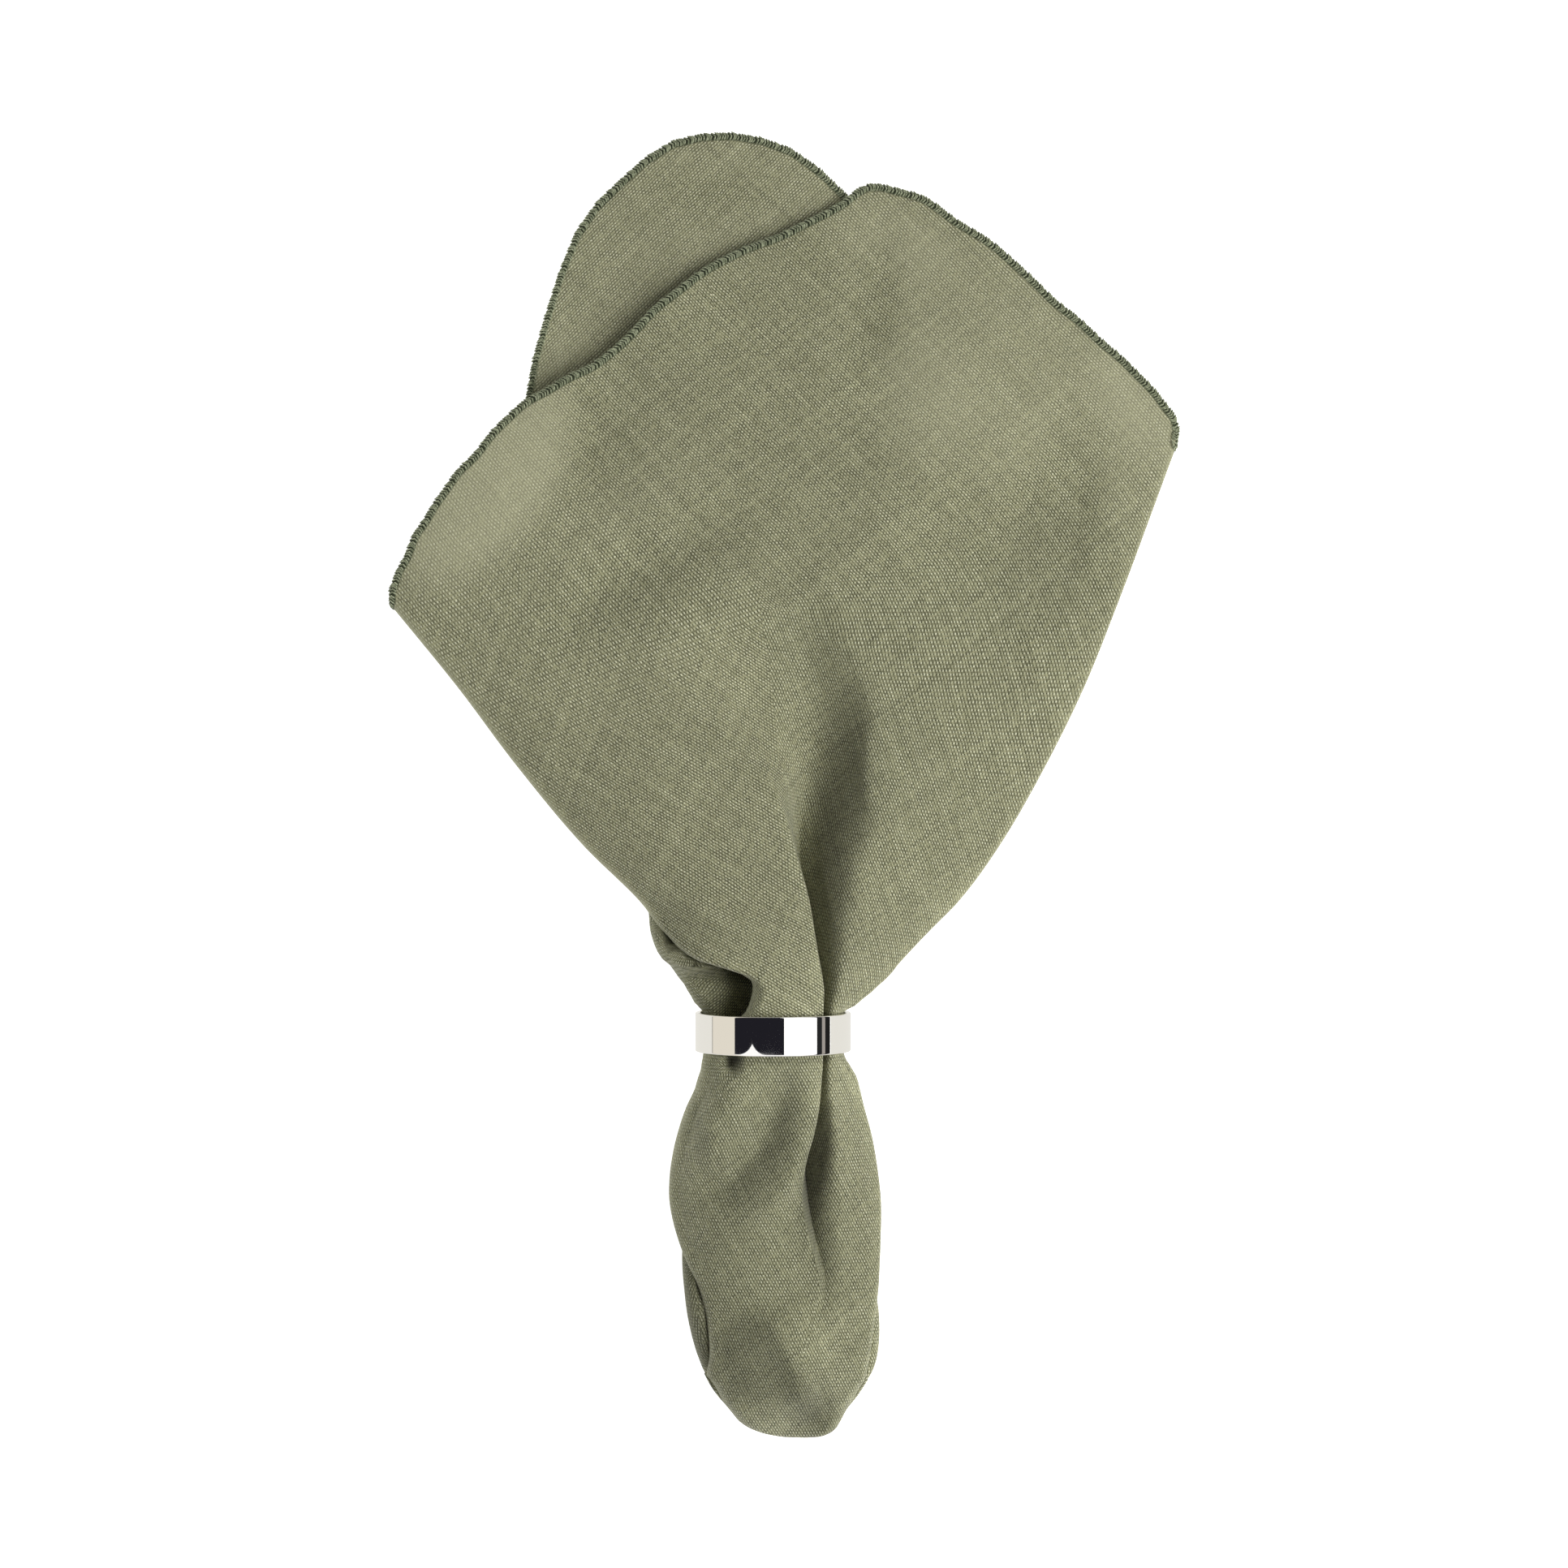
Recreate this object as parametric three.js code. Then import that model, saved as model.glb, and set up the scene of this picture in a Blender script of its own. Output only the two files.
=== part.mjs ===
// A square linen napkin, pinched at its middle and drawn through a polished napkin ring.
// It lies on a table: the pinched middle is the rounded tail, the four corners fan out at the other end.
// Millimetres, +Z up. +Y runs from the tail to the fan, and the origin lies on the table under the middle.
import * as THREE from "three";

// Driving dimensions.
const clothThickness = 1;
const ring = { x: -2.8, y: -63.5, outerDiameter: 40, wall: 1.2, width: 10, edgeRound: 0.4, sides: 72 };
const tip = { x: 5, y: -169.5, z: 5 }; // the middle of the cloth, at the end of the tail
const fanStart = -30; // from here each thread line runs on to its own place on the hem
const crownPower = 0.85; // how round the gathered bundle's top and underside are
const lowerRightInset = 2.4; // the lowest right fold lies this far inside the one above it
const widestFold = 3; // the most that a deep fold bulges past its layers
const foldShare = 0.4; // and the most of a layer's length that a fold may take up
const sideShare = 0.3; // the most of the tail's width that its round side takes up near the tip
const swellRoom = 1.6; // how much lower the layers under the front lie, to leave its swells room
const tuckStart = -153; // nearer the tip than this, the tail's sides are plain rounds without tucks
const bunch = 0.06; // angle over which a hidden layer's columns are bunched in those rounds
const bunchApart = 0.14; // angle from one hidden layer's bunch to the next

// Tables: the first column is the place along +Y, the rest are read off smoothly between the rows.
function readTable(names, ...rows) {
  const places = rows.map((row) => row[0]);
  const values = rows.flatMap((row) => row.slice(1));
  const curve = new THREE.CubicInterpolant(places, values, names.length - 1);
  return (place) => {
    const found = curve.evaluate(place);
    return Object.fromEntries(names.slice(1).map((name, i) => [name, found[i]]));
  };
}

// Where the folds lie, seen from above: the front's two side folds, the folds of the layers
// under it, and the line of the pleat that runs down the front.
const outline = readTable(
  ["y", "leftUpper", "leftLower", "rightUpper", "rightLower", "pleat"],
  [-169.5, 4.5, 4.5, 5.5, 5.5, 5.0],
  [-169.0, -3.4, -3.4, 10.4, 10.4, 4.5],
  [-167.0, -8.8, -8.8, 12.8, 12.8, 4.0],
  [-163.0, -13.3, -13.3, 15.3, 15.3, 3.0],
  [-157.0, -17.8, -17.8, 19.2, 19.2, 1.5],
  [-149.0, -17.4, -21.8, 20.9, 23.2, 0.0],
  [-139.0, -17.3, -24.4, 23.0, 24.2, -1.0],
  [-130.0, -21.3, -25.9, 24.3, 23.4, -1.3],
  [-119.0, -26.6, -26.4, 24.6, 22.8, -0.6],
  [-108.0, -29.2, -27.3, 24.6, 22.6, 1.8],
  [-95.0, -28.2, -26.4, 22.9, 21.4, 5.2],
  [-83.0, -24.6, -23.4, 20.0, 19.0, 8.0],
  [-75.0, -20.4, -21.2, 17.0, 16.8, 9.2],
  [-70.3, -13.2, -18.5, 13.4, 14.0, 9.4],
  [-64.0, -11.4, -18.5, 13.4, 14.0, 9.5],
  [-57.7, -10.2, -18.5, 13.4, 14.0, 9.6],
  [-53.0, -9.6, -24.0, 21.0, 18.2, 9.9],
  [-49.0, -13.5, -27.2, 26.0, 22.8, 9.7],
  [-45.0, -22.2, -30.4, 30.0, 27.0, 9.3],
  [-38.0, -30.2, -33.6, 37.0, 34.0, 8.5],
  [-30.0, -37.4, -36.0, 45.0, 41.5, 7.2],
  [-16.0, -51.8, -47.0, 55.4, 51.5, 4.4],
  [5.0, -69.2, -64.0, 67.6, 63.0, 0.2],
  [25.0, -84.3, -79.0, 77.5, 72.5, -3.4],
  [47.0, -102.5, -96.5, 86.4, 82.0, -6.5],
  [90.0, -137.0, -129.0, 102.5, 96.5, -12.8],
  [172.0, -196.0, -186.0, 134.0, 126.0, -27.0],
);

// How high the bundle stands: its edges, how far its middle bulges above and below them,
// how deep the hidden tucks run (as a share of the width), and the pleat's depth and width.
const heights = readTable(
  ["y", "edgeBottom", "edgeTop", "crownTop", "crownBottom", "tuckDepth", "pleatDepth", "pleatWidth"],
  [-169.5, 4.0, 6.0, 0.0, 0.0, 0.0, 0.0, 12],
  [-169.0, 3.2, 7.0, 0.4, 0.4, 0.0, 0.0, 12],
  [-167.0, 2.0, 8.7, 1.0, 0.7, 0.0, 0.0, 12],
  [-163.0, 1.0, 10.4, 1.8, 0.4, 0.0, 0.0, 12],
  [-157.0, 0.5, 11.4, 2.9, 0.0, 0.0, 0.0, 12],
  [-151.0, 0.5, 11.7, 4.0, 0.0, 0.12, 0.0, 12],
  [-139.0, 0.5, 12.0, 6.2, 0.0, 0.42, 0.0, 12],
  [-126.0, 0.5, 12.3, 8.4, 0.0, 0.85, 0.0, 12],
  [-112.0, 0.5, 13.0, 11.5, 0.0, 1.0, 0.6, 12],
  [-96.0, 1.5, 15.0, 14.5, 1.0, 1.0, 2.5, 10],
  [-84.0, 5.4, 19.2, 14.9, 4.4, 1.0, 3.0, 8],
  [-76.0, 9.8, 23.6, 12.6, 7.8, 1.0, 2.2, 6],
  [-70.3, 13.1, 26.9, 10.8, 10.8, 1.0, 1.4, 5],
  [-64.0, 13.1, 26.9, 10.8, 10.8, 1.0, 1.4, 5],
  [-57.7, 13.1, 26.9, 10.8, 10.8, 1.0, 1.4, 5],
  [-53.0, 11.6, 25.2, 12.7, 9.2, 1.0, 2.4, 6.5],
  [-45.0, 7.2, 20.0, 16.2, 6.0, 1.0, 4.5, 9],
  [-34.0, 2.2, 14.6, 16.8, 1.7, 1.0, 6.6, 12],
  [-20.0, 0.5, 12.3, 14.4, 0.0, 1.0, 7.2, 15],
  [0.0, 0.5, 11.9, 11.0, 0.0, 1.0, 6.0, 19],
  [25.0, 0.5, 11.6, 7.1, 0.0, 1.0, 3.2, 24],
  [50.0, 0.5, 11.3, 4.7, 0.0, 1.0, 0.8, 28],
  [90.0, 0.5, 10.8, 3.1, 0.0, 1.0, 0.0, 30],
  [130.0, 0.5, 8.8, 2.0, 0.0, 1.0, 0.0, 30],
  [172.0, 0.5, 6.2, 1.0, 0.0, 1.0, 0.0, 30],
);

// Soft swells (+) and hollows (-) of the front: middle, half length and half width, turn from +X.
const swells = [
  { x: -86, y: 66, long: 30, wide: 12, turn: 55, rise: 1.6 },
  { x: -47, y: 100, long: 34, wide: 11, turn: 70, rise: -2.0 },
  { x: -40, y: 52, long: 30, wide: 10, turn: 32, rise: -1.5 },
  { x: 38, y: 90, long: 40, wide: 15, turn: 60, rise: 1.6 },
  { x: 66, y: 62, long: 30, wide: 12, turn: 65, rise: -1.4 },
];

// The cloth is one closed walk through eight layers, counted from the top (0) to the back (7).
// Each stretch runs between two folds. The hem's reach along +Y is given across the stretch,
// from its left fold (-1) to its right one (+1). On the front, 0 is the pleat's line.
const topLayer = 0;
const backLayer = 7;
const evenSteps = [-1, -0.7, -0.43, -0.15, 0.15, 0.43, 0.7, 1];
const walk = [
  {
    layer: topLayer,
    from: "upperLeft",
    to: "upperRight",
    steps: [
      -1, -0.84, -0.68, -0.53, -0.39, -0.26, -0.15, -0.06, 0, 0.05, 0.11, 0.18, 0.25, 0.32, 0.41, 0.54, 0.7,
      0.86, 1,
    ],
    hem: readTable(
      ["across", "reach"],
      [-1, 47],
      [-0.85, 61],
      [-0.56, 86.4],
      [-0.39, 100.7],
      [-0.22, 111.3],
      [0, 134],
      [0.14, 143.3],
      [0.26, 152],
      [0.32, 155.5],
      [0.4, 152],
      [0.54, 139],
      [0.67, 124.3],
      [0.86, 106.8],
      [1, 90],
    ),
  },
  {
    layer: 1,
    from: "upperRight",
    to: "tuckTop",
    steps: evenSteps,
    hem: readTable(["across", "reach"], [-1, 64], [0.2, 70], [1, 90]),
  },
  {
    layer: 2,
    from: "tuckTop",
    to: "middleRight",
    steps: [-1, -0.76, -0.56, -0.41, -0.26, -0.11, 0.04, 0.19, 0.6, 1],
    hem: readTable(
      ["across", "reach"],
      [-1, 64],
      [-0.8, 83],
      [-0.61, 101.4],
      [-0.476, 128.3],
      [-0.315, 153.7],
      [-0.18, 166.4],
      [-0.06, 170],
      [0.066, 166.4],
      [0.19, 153.7],
      [0.4, 134],
      [0.7, 108],
      [1, 82],
    ),
  },
  {
    layer: 5,
    from: "middleRight",
    to: "tuckLow",
    steps: evenSteps,
    hem: readTable(["across", "reach"], [-1, 60], [0, 66], [1, 82]),
  },
  {
    layer: 6,
    from: "tuckLow",
    to: "lowerRight",
    steps: [-1, -0.7, -0.4, -0.1, 0.15, 0.4, 0.7, 1],
    hem: readTable(["across", "reach"], [-1, 60], [-0.3, 103], [0.12, 137], [0.6, 102], [1, 74]),
  },
  {
    layer: backLayer,
    from: "lowerRight",
    to: "lowerLeft",
    steps: evenSteps,
    hem: readTable(["across", "reach"], [-1, 40], [0, 58], [1, 74]),
  },
  {
    layer: 4,
    from: "lowerLeft",
    to: "tuckMiddle",
    steps: [-1, -0.7, -0.4, -0.1, 0.2, 0.42, 0.7, 1],
    hem: readTable(["across", "reach"], [-1, 40], [-0.2, 94], [0.28, 133], [0.7, 104], [1, 78]),
  },
  {
    layer: 3,
    from: "tuckMiddle",
    to: "upperLeft",
    steps: evenSteps,
    hem: readTable(["across", "reach"], [-1, 47], [0, 62], [1, 78]),
  },
];

// Angles round a fold at which it has a point: the folds that show are rounder.
const roundTurn = [0.25, 0.5, 0.75].map((share) => share * Math.PI);
const tightTurn = [Math.PI / 2];
const turnOf = {
  upperRight: roundTurn,
  tuckTop: tightTurn,
  middleRight: roundTurn,
  tuckLow: tightTurn,
  lowerRight: tightTurn,
  lowerLeft: roundTurn,
  tuckMiddle: tightTurn,
  upperLeft: roundTurn,
};

// A tuck stops this far short of the fold that it lies in, a little more further up the fan.
const tuckShort = {
  tuckTop: { atRing: 6, growth: 0.22 },
  tuckLow: { atRing: 7, growth: 0.1 },
  tuckMiddle: { atRing: 5, growth: 0.08 },
};

function shortBy(tuck, y) {
  const { atRing, growth } = tuckShort[tuck];
  return atRing + growth * Math.max(0, y - fanStart);
}

// The place of every fold at one station along the napkin.
function foldsAt(y) {
  const o = outline(y);
  const h = heights(y);
  const lowerRight = o.rightLower - lowerRightInset;
  const leftInner = Math.max(o.leftUpper, o.leftLower);
  const rightInner = Math.min(o.rightUpper, lowerRight);
  const tucked = (mouth, end) => THREE.MathUtils.lerp(mouth, end, h.tuckDepth);
  return {
    ...o,
    ...h,
    left: Math.min(o.leftUpper, o.leftLower),
    right: Math.max(o.rightUpper, o.rightLower),
    upperLeft: o.leftUpper,
    upperRight: o.rightUpper,
    middleRight: o.rightLower,
    lowerRight,
    lowerLeft: o.leftLower,
    tuckTop: tucked(rightInner, o.leftUpper + shortBy("tuckTop", y)),
    tuckLow: tucked(rightInner, o.leftLower + shortBy("tuckLow", y)),
    tuckMiddle: tucked(leftInner, o.rightLower - shortBy("tuckMiddle", y)),
  };
}

// How far the front's surface is pushed up or down at (x, y) by the pleat and the swells.
function reliefAt(f, x, y) {
  const into = (x - f.pleat) / f.pleatWidth;
  const wall = THREE.MathUtils.smoothstep(into, 0, 0.4);
  const farSide = 1 - THREE.MathUtils.smoothstep(into, 0.35, 1.2);
  let rise = -f.pleatDepth * wall * farSide;
  for (const s of swells) {
    const turn = THREE.MathUtils.degToRad(s.turn);
    const along = ((x - s.x) * Math.cos(turn) + (y - s.y) * Math.sin(turn)) / s.long;
    const across = ((y - s.y) * Math.cos(turn) - (x - s.x) * Math.sin(turn)) / s.wide;
    rise += s.rise * Math.exp(-along * along - across * across);
  }
  return rise;
}

// The bundle's top and underside at x, before the pleat and the swells. The layers under the
// front lie lower by the pleat's depth, so the pleat has room.
function stackAt(f, x) {
  const across = (2 * x - f.left - f.right) / (f.right - f.left);
  const bulge = Math.pow(Math.max(0, 1 - across * across), crownPower);
  const top = f.edgeTop + f.crownTop * bulge;
  const bottom = f.edgeBottom - f.crownBottom * bulge;
  const underFront = top - (top - bottom) / backLayer - (f.pleatDepth + swellRoom) * bulge;
  return { top, bottom, underFront };
}

function layerHeight(f, layer, x, y) {
  const { top, bottom, underFront } = stackAt(f, x);
  if (layer === topLayer) return top + reliefAt(f, x, y);
  return THREE.MathUtils.lerp(bottom, underFront, (backLayer - layer) / (backLayer - 1));
}

// The columns of the cloth: one for each step of a stretch and each angle of the fold after it.
function clothColumns() {
  const columns = [];
  walk.forEach((stretch, i) => {
    const next = walk[(i + 1) % walk.length];
    const rightward = stretch.to.toLowerCase().includes("right") || stretch.to === "tuckMiddle";
    const steps = rightward ? stretch.steps : stretch.steps.toReversed();
    for (const across of steps) {
      columns.push({ stretch, rightward, across, reach: stretch.hem(across).reach });
    }
    const endReach = stretch.hem(rightward ? 1 : -1).reach;
    for (const angle of turnOf[stretch.to]) {
      columns.push({ stretch, next, rightward, angle, reach: endReach });
    }
  });
  markSideWalls(columns);
  return columns;
}

// Near the tip there is no room for tucks: the columns of each hidden layer are bunched in the
// tail's round side, one layer below the other, and a fold's are spread between those it joins.
function markSideWalls(columns) {
  const down = (layer) => {
    if (layer === topLayer) return 0;
    if (layer === backLayer) return Math.PI;
    return Math.PI / 2 + (layer - backLayer / 2) * bunchApart;
  };
  const backIndex = columns.findIndex((c) => c.stretch.layer === backLayer);
  columns.forEach((column, i) => {
    const { stretch, next, angle, across, rightward } = column;
    const outwards = i < backIndex ? 1 : -1;
    if (angle !== undefined) {
      const turned = angle / Math.PI;
      const side = stretch.to === "lowerLeft" ? -1 : outwards;
      const from = down(stretch.layer);
      column.wall = { outwards: side, angle: THREE.MathUtils.lerp(from, down(next.layer), turned) };
    } else if (stretch.layer !== topLayer && stretch.layer !== backLayer) {
      const onwards = (rightward ? across : -across) * outwards;
      column.wall = { outwards, angle: down(stretch.layer) + (bunch / 2) * onwards };
    }
  });
}

// How far a fold bulges sideways past the ends of the two layers that it joins.
function foldBulge(f, fold, layerA, layerB, length, y) {
  const drop = layerHeight(f, layerA, f[fold], y) - layerHeight(f, layerB, f[fold], y);
  return Math.min(Math.abs(drop) / 2, widestFold, foldShare * length);
}

// How far sideways the tail's round side reaches near the tip, and a point on that side.
function sideRound(f) {
  return Math.min((f.edgeTop - f.edgeBottom) / 2, sideShare * (f.right - f.left));
}

function sidePoint(f, wall, y) {
  const round = sideRound(f);
  const edge = (wall.outwards > 0 ? f.right : f.left) - wall.outwards * round;
  const upper = layerHeight(f, topLayer, edge, y);
  const lower = layerHeight(f, backLayer, edge, y);
  const x = edge + wall.outwards * round * Math.sin(wall.angle);
  return new THREE.Vector3(x, y, (upper + lower) / 2 + ((upper - lower) / 2) * Math.cos(wall.angle));
}

// The middle of the cloth's thickness in one column, at one station along the napkin.
function pointAt(column, y) {
  const f = foldsAt(y);
  const { stretch, next, rightward, across, angle, wall } = column;
  const before = walk[(walk.indexOf(stretch) + walk.length - 1) % walk.length];
  const after = walk[(walk.indexOf(stretch) + 1) % walk.length];
  const sense = rightward ? 1 : -1;
  const length = Math.abs(f[stretch.to] - f[stretch.from]);
  const plainSides = y < tuckStart;
  if (wall && plainSides) return sidePoint(f, wall, y);
  const bulgeAt = (fold, a, b) =>
    plainSides ? sideRound(f) : foldBulge(f, fold, a.layer, b.layer, length, y);
  const endBulge = bulgeAt(stretch.to, stretch, after);
  const end = f[stretch.to] - sense * endBulge;
  let x;
  let z;
  if (angle === undefined) {
    const startBulge = bulgeAt(stretch.from, before, stretch);
    const start = f[stretch.from] + sense * startBulge;
    const [left, right] = rightward ? [start, end] : [end, start];
    const middle = stretch.layer === topLayer ? f.pleat : (left + right) / 2;
    x = THREE.MathUtils.lerp(middle, across < 0 ? left : right, Math.abs(across));
    z = layerHeight(f, stretch.layer, x, y);
  } else {
    x = end + sense * endBulge * Math.sin(angle);
    const upper = layerHeight(f, stretch.layer, end, y);
    const lower = layerHeight(f, next.layer, end, y);
    z = (upper + lower) / 2 + ((upper - lower) / 2) * Math.cos(angle);
  }
  return new THREE.Vector3(x, y, z);
}

// Stations from the tip to the start of the fan, close together where the shape turns quickly,
// then shares of the way from there to the hem.
const bundleStations = [
  -169, -167.2, -164, -159.5, -155, -151.5, -147, -141, -134, -126, -117, -107, -96, -87, -79, -73, -70, -64,
  -58, -55.5, -52, -48, -43, -37,
];
const fanShares = [0, 0.12, 0.24, 0.37, 0.51, 0.66, 0.82, 1];

function clothRows(columns) {
  const bundle = bundleStations.map((y) => columns.map((column) => ({ column, y })));
  const fan = fanShares.map((share) =>
    columns.map((column) => ({ column, y: THREE.MathUtils.lerp(fanStart, column.reach, share) })),
  );
  return [...bundle, ...fan];
}

// Small steps over which the cloth's slopes are taken.
const slopeStep = { across: 0.01, angle: 0.05, y: 0.05 };

// The column a little further round the cloth (1) or a little further back (-1).
function besideColumn(column, sense) {
  const { across, angle, rightward, wall } = column;
  const wallAngle = wall && wall.angle + sense * wall.outwards * slopeStep.angle;
  const beside = { ...column, wall: wall && { ...wall, angle: wallAngle } };
  if (angle === undefined) {
    const step = (rightward ? 1 : -1) * sense * slopeStep.across;
    beside.across = THREE.MathUtils.clamp(across + step, -1, 1);
  } else {
    beside.angle = angle + sense * slopeStep.angle;
  }
  return beside;
}

// The cloth's normal, outwards: up on the front, down on the back.
function normalAt(column, y) {
  const around = pointAt(besideColumn(column, 1), y).sub(pointAt(besideColumn(column, -1), y));
  const along = pointAt(column, y + slopeStep.y).sub(pointAt(column, y - slopeStep.y));
  return around.cross(along).normalize();
}

// The napkin: an outer and an inner skin half a thickness from the grid, joined along the hem.
function napkinGeometry() {
  const columns = clothColumns();
  const rows = clothRows(columns);
  const count = columns.length;
  const positions = [];
  const triangles = [];

  // The front's right fold is split the other way, so its skins stay apart where the tucks begin.
  const splitBack = (column) => column.angle !== undefined && column.stretch.to === "upperRight";
  const addSkin = (side) => {
    const offset = (side * clothThickness) / 2;
    const pole = positions.length / 3;
    positions.push(tip.x, tip.y - offset, tip.z);
    for (const { column, y } of rows.flat()) {
      const p = pointAt(column, y).addScaledVector(normalAt(column, y), offset);
      positions.push(p.x, p.y, Math.max(0, p.z));
    }
    const at = (j, i) => pole + 1 + j * count + (i % count);
    const face = (a, b, c) => triangles.push(...(side > 0 ? [a, b, c] : [a, c, b]));
    for (let i = 0; i < count; i++) {
      face(pole, at(0, i + 1), at(0, i));
      for (let j = 0; j + 1 < rows.length; j++) {
        const [a, b, c, d] = [at(j, i), at(j, i + 1), at(j + 1, i + 1), at(j + 1, i)];
        if (splitBack(columns[i])) {
          face(a, b, d);
          face(b, c, d);
        } else {
          face(a, b, c);
          face(a, c, d);
        }
      }
    }
    return (i) => at(rows.length - 1, i);
  };

  const outerHem = addSkin(1);
  const innerHem = addSkin(-1);
  for (let i = 0; i < count; i++) {
    triangles.push(outerHem(i), outerHem(i + 1), innerHem(i + 1));
    triangles.push(outerHem(i), innerHem(i + 1), innerHem(i));
  }
  const geometry = new THREE.BufferGeometry();
  geometry.setAttribute("position", new THREE.Float32BufferAttribute(positions, 3));
  geometry.setIndex(triangles);
  geometry.computeVertexNormals();
  return geometry;
}

// The ring: a flat band with softened edges, standing on one of its own sides.
function ringGeometry() {
  const outer = ring.outerDiameter / 2;
  const inner = outer - ring.wall;
  const half = ring.width / 2;
  const soft = ring.edgeRound;
  const band = new THREE.Path();
  band.moveTo(outer, -half + soft);
  band.lineTo(outer, half - soft);
  band.absarc(outer - soft, half - soft, soft, 0, Math.PI / 2, false);
  band.absarc(inner + soft, half - soft, soft, Math.PI / 2, Math.PI, false);
  band.absarc(inner + soft, -half + soft, soft, Math.PI, 1.5 * Math.PI, false);
  band.absarc(outer - soft, -half + soft, soft, 1.5 * Math.PI, 2 * Math.PI, false);
  const arcSteps = 3;
  const profile = band.getPoints(arcSteps).filter((p, i, all) => i === 0 || p.distanceTo(all[i - 1]) > 1e-6);
  // A side of the band, not a corner, is turned down to the table.
  // The profile is enlarged so that the middles of the sides have the band's radius.
  const halfSide = Math.PI / ring.sides;
  const toSideMiddle = 1 / Math.cos(halfSide);
  const enlarged = profile.map((p) => new THREE.Vector2(p.x * toSideMiddle, p.y));
  return new THREE.LatheGeometry(enlarged, ring.sides, halfSide);
}

const linen = new THREE.MeshStandardMaterial({
  color: 0x7d8160,
  roughness: 0.95,
  metalness: 0,
  name: "linen",
});
const polishedMetal = new THREE.MeshStandardMaterial({
  color: 0xd9d6cf,
  roughness: 0.06,
  metalness: 1,
  name: "polished_metal",
});

const napkinInRing = new THREE.Group();

const napkin = new THREE.Mesh(napkinGeometry(), linen);
napkin.name = "napkin";
napkinInRing.add(napkin);

const napkinRing = new THREE.Mesh(ringGeometry(), polishedMetal);
napkinRing.name = "napkin_ring";
napkinRing.position.set(ring.x, ring.y, ring.outerDiameter / 2);
napkinInRing.add(napkinRing);

export default napkinInRing;
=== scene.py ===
import math

import bpy
import numpy as np
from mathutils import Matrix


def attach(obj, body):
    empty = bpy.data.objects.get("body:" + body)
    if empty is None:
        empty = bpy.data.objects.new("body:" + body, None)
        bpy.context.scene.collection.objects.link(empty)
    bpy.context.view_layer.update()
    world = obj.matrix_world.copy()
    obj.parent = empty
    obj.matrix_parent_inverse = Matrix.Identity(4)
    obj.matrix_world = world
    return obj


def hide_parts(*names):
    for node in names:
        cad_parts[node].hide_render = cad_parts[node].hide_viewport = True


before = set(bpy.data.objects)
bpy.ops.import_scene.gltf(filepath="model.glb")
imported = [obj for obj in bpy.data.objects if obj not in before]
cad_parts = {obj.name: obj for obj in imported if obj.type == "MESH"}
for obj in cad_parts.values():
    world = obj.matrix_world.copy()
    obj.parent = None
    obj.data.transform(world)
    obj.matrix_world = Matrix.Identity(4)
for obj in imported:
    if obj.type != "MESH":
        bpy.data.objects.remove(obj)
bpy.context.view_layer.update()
print("frame loaded:", ", ".join(sorted(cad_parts)))

mm = 0.001  # shapes are worked out in millimetres, meshes are in metres


# Small helpers for shapes

def softStep(x, low, high):
    # 0 below low, 1 above high, and the S curve 3t^2 - 2t^3 between
    t = np.clip((x - low) / (high - low), 0, 1)
    return t * t * (3 - 2 * t)


def mix(a, b, share):
    return a + (b - a) * share


def readTable(names, *rows):
    # a cubic through the rows, whose slope at a row is the mean of the slopes on its two sides
    rows = np.array(rows, float)
    at, values = rows[:, 0], rows[:, 1:]
    slope = np.diff(values, axis=0) / np.diff(at)[:, None]
    tangent = np.vstack([slope[:1], (slope[:-1] + slope[1:]) / 2, slope[-1:]])

    def read(place):
        place = np.asarray(place, float)
        i = np.clip(np.searchsorted(at, place, side="right") - 1, 0, len(at) - 2)
        gap = (at[i + 1] - at[i])[..., None]
        t = np.clip((place - at[i])[..., None] / gap, 0, 1)
        bow = t * (1 - t) * gap * mix(tangent[i], -tangent[i + 1], t)
        found = values[i] + (values[i + 1] - values[i]) * (3 - 2 * t) * t * t + bow
        return {name: found[..., k] for k, name in enumerate(names[1:])}

    return read


def namedRows(names, *rows):
    return [dict(zip(names, row)) for row in rows]


def unit(vectors):
    return vectors / np.linalg.norm(vectors, axis=1, keepdims=True)


def ahead(loop):
    # the direction along a closed line at each of its points, from its two neighbours
    return unit(np.roll(loop, -1, axis=0) - np.roll(loop, 1, axis=0))


def squareTo(along, vectors):
    # what is left of the vectors without their share along these unit vectors, made unit vectors again
    return unit(vectors - along * (vectors * along).sum(1, keepdims=True))


def gridFaces(rows, columns):
    # the quads of a grid whose rows close on themselves
    j, i = np.meshgrid(np.arange(rows - 1), np.arange(columns), indexing="ij")
    k = (i + 1) % columns
    corners = [j * columns + i, j * columns + k, (j + 1) * columns + k, (j + 1) * columns + i]
    return np.stack(corners, -1).reshape(-1, 4)


def newPiece(name, points, faces, material):
    # points in millimetres, faces as lists of corner numbers
    mesh = bpy.data.meshes.new(name)
    mesh.from_pydata((points * mm).tolist(), [], faces)
    mesh.polygons.foreach_set("use_smooth", np.ones(len(mesh.polygons), bool))
    mesh.materials.append(material)
    mesh.update()
    piece = bpy.data.objects.new(name, mesh)
    bpy.context.scene.collection.objects.link(piece)
    return piece


# Shader maths: a Value wraps a socket, and sums of values add Math nodes

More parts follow.
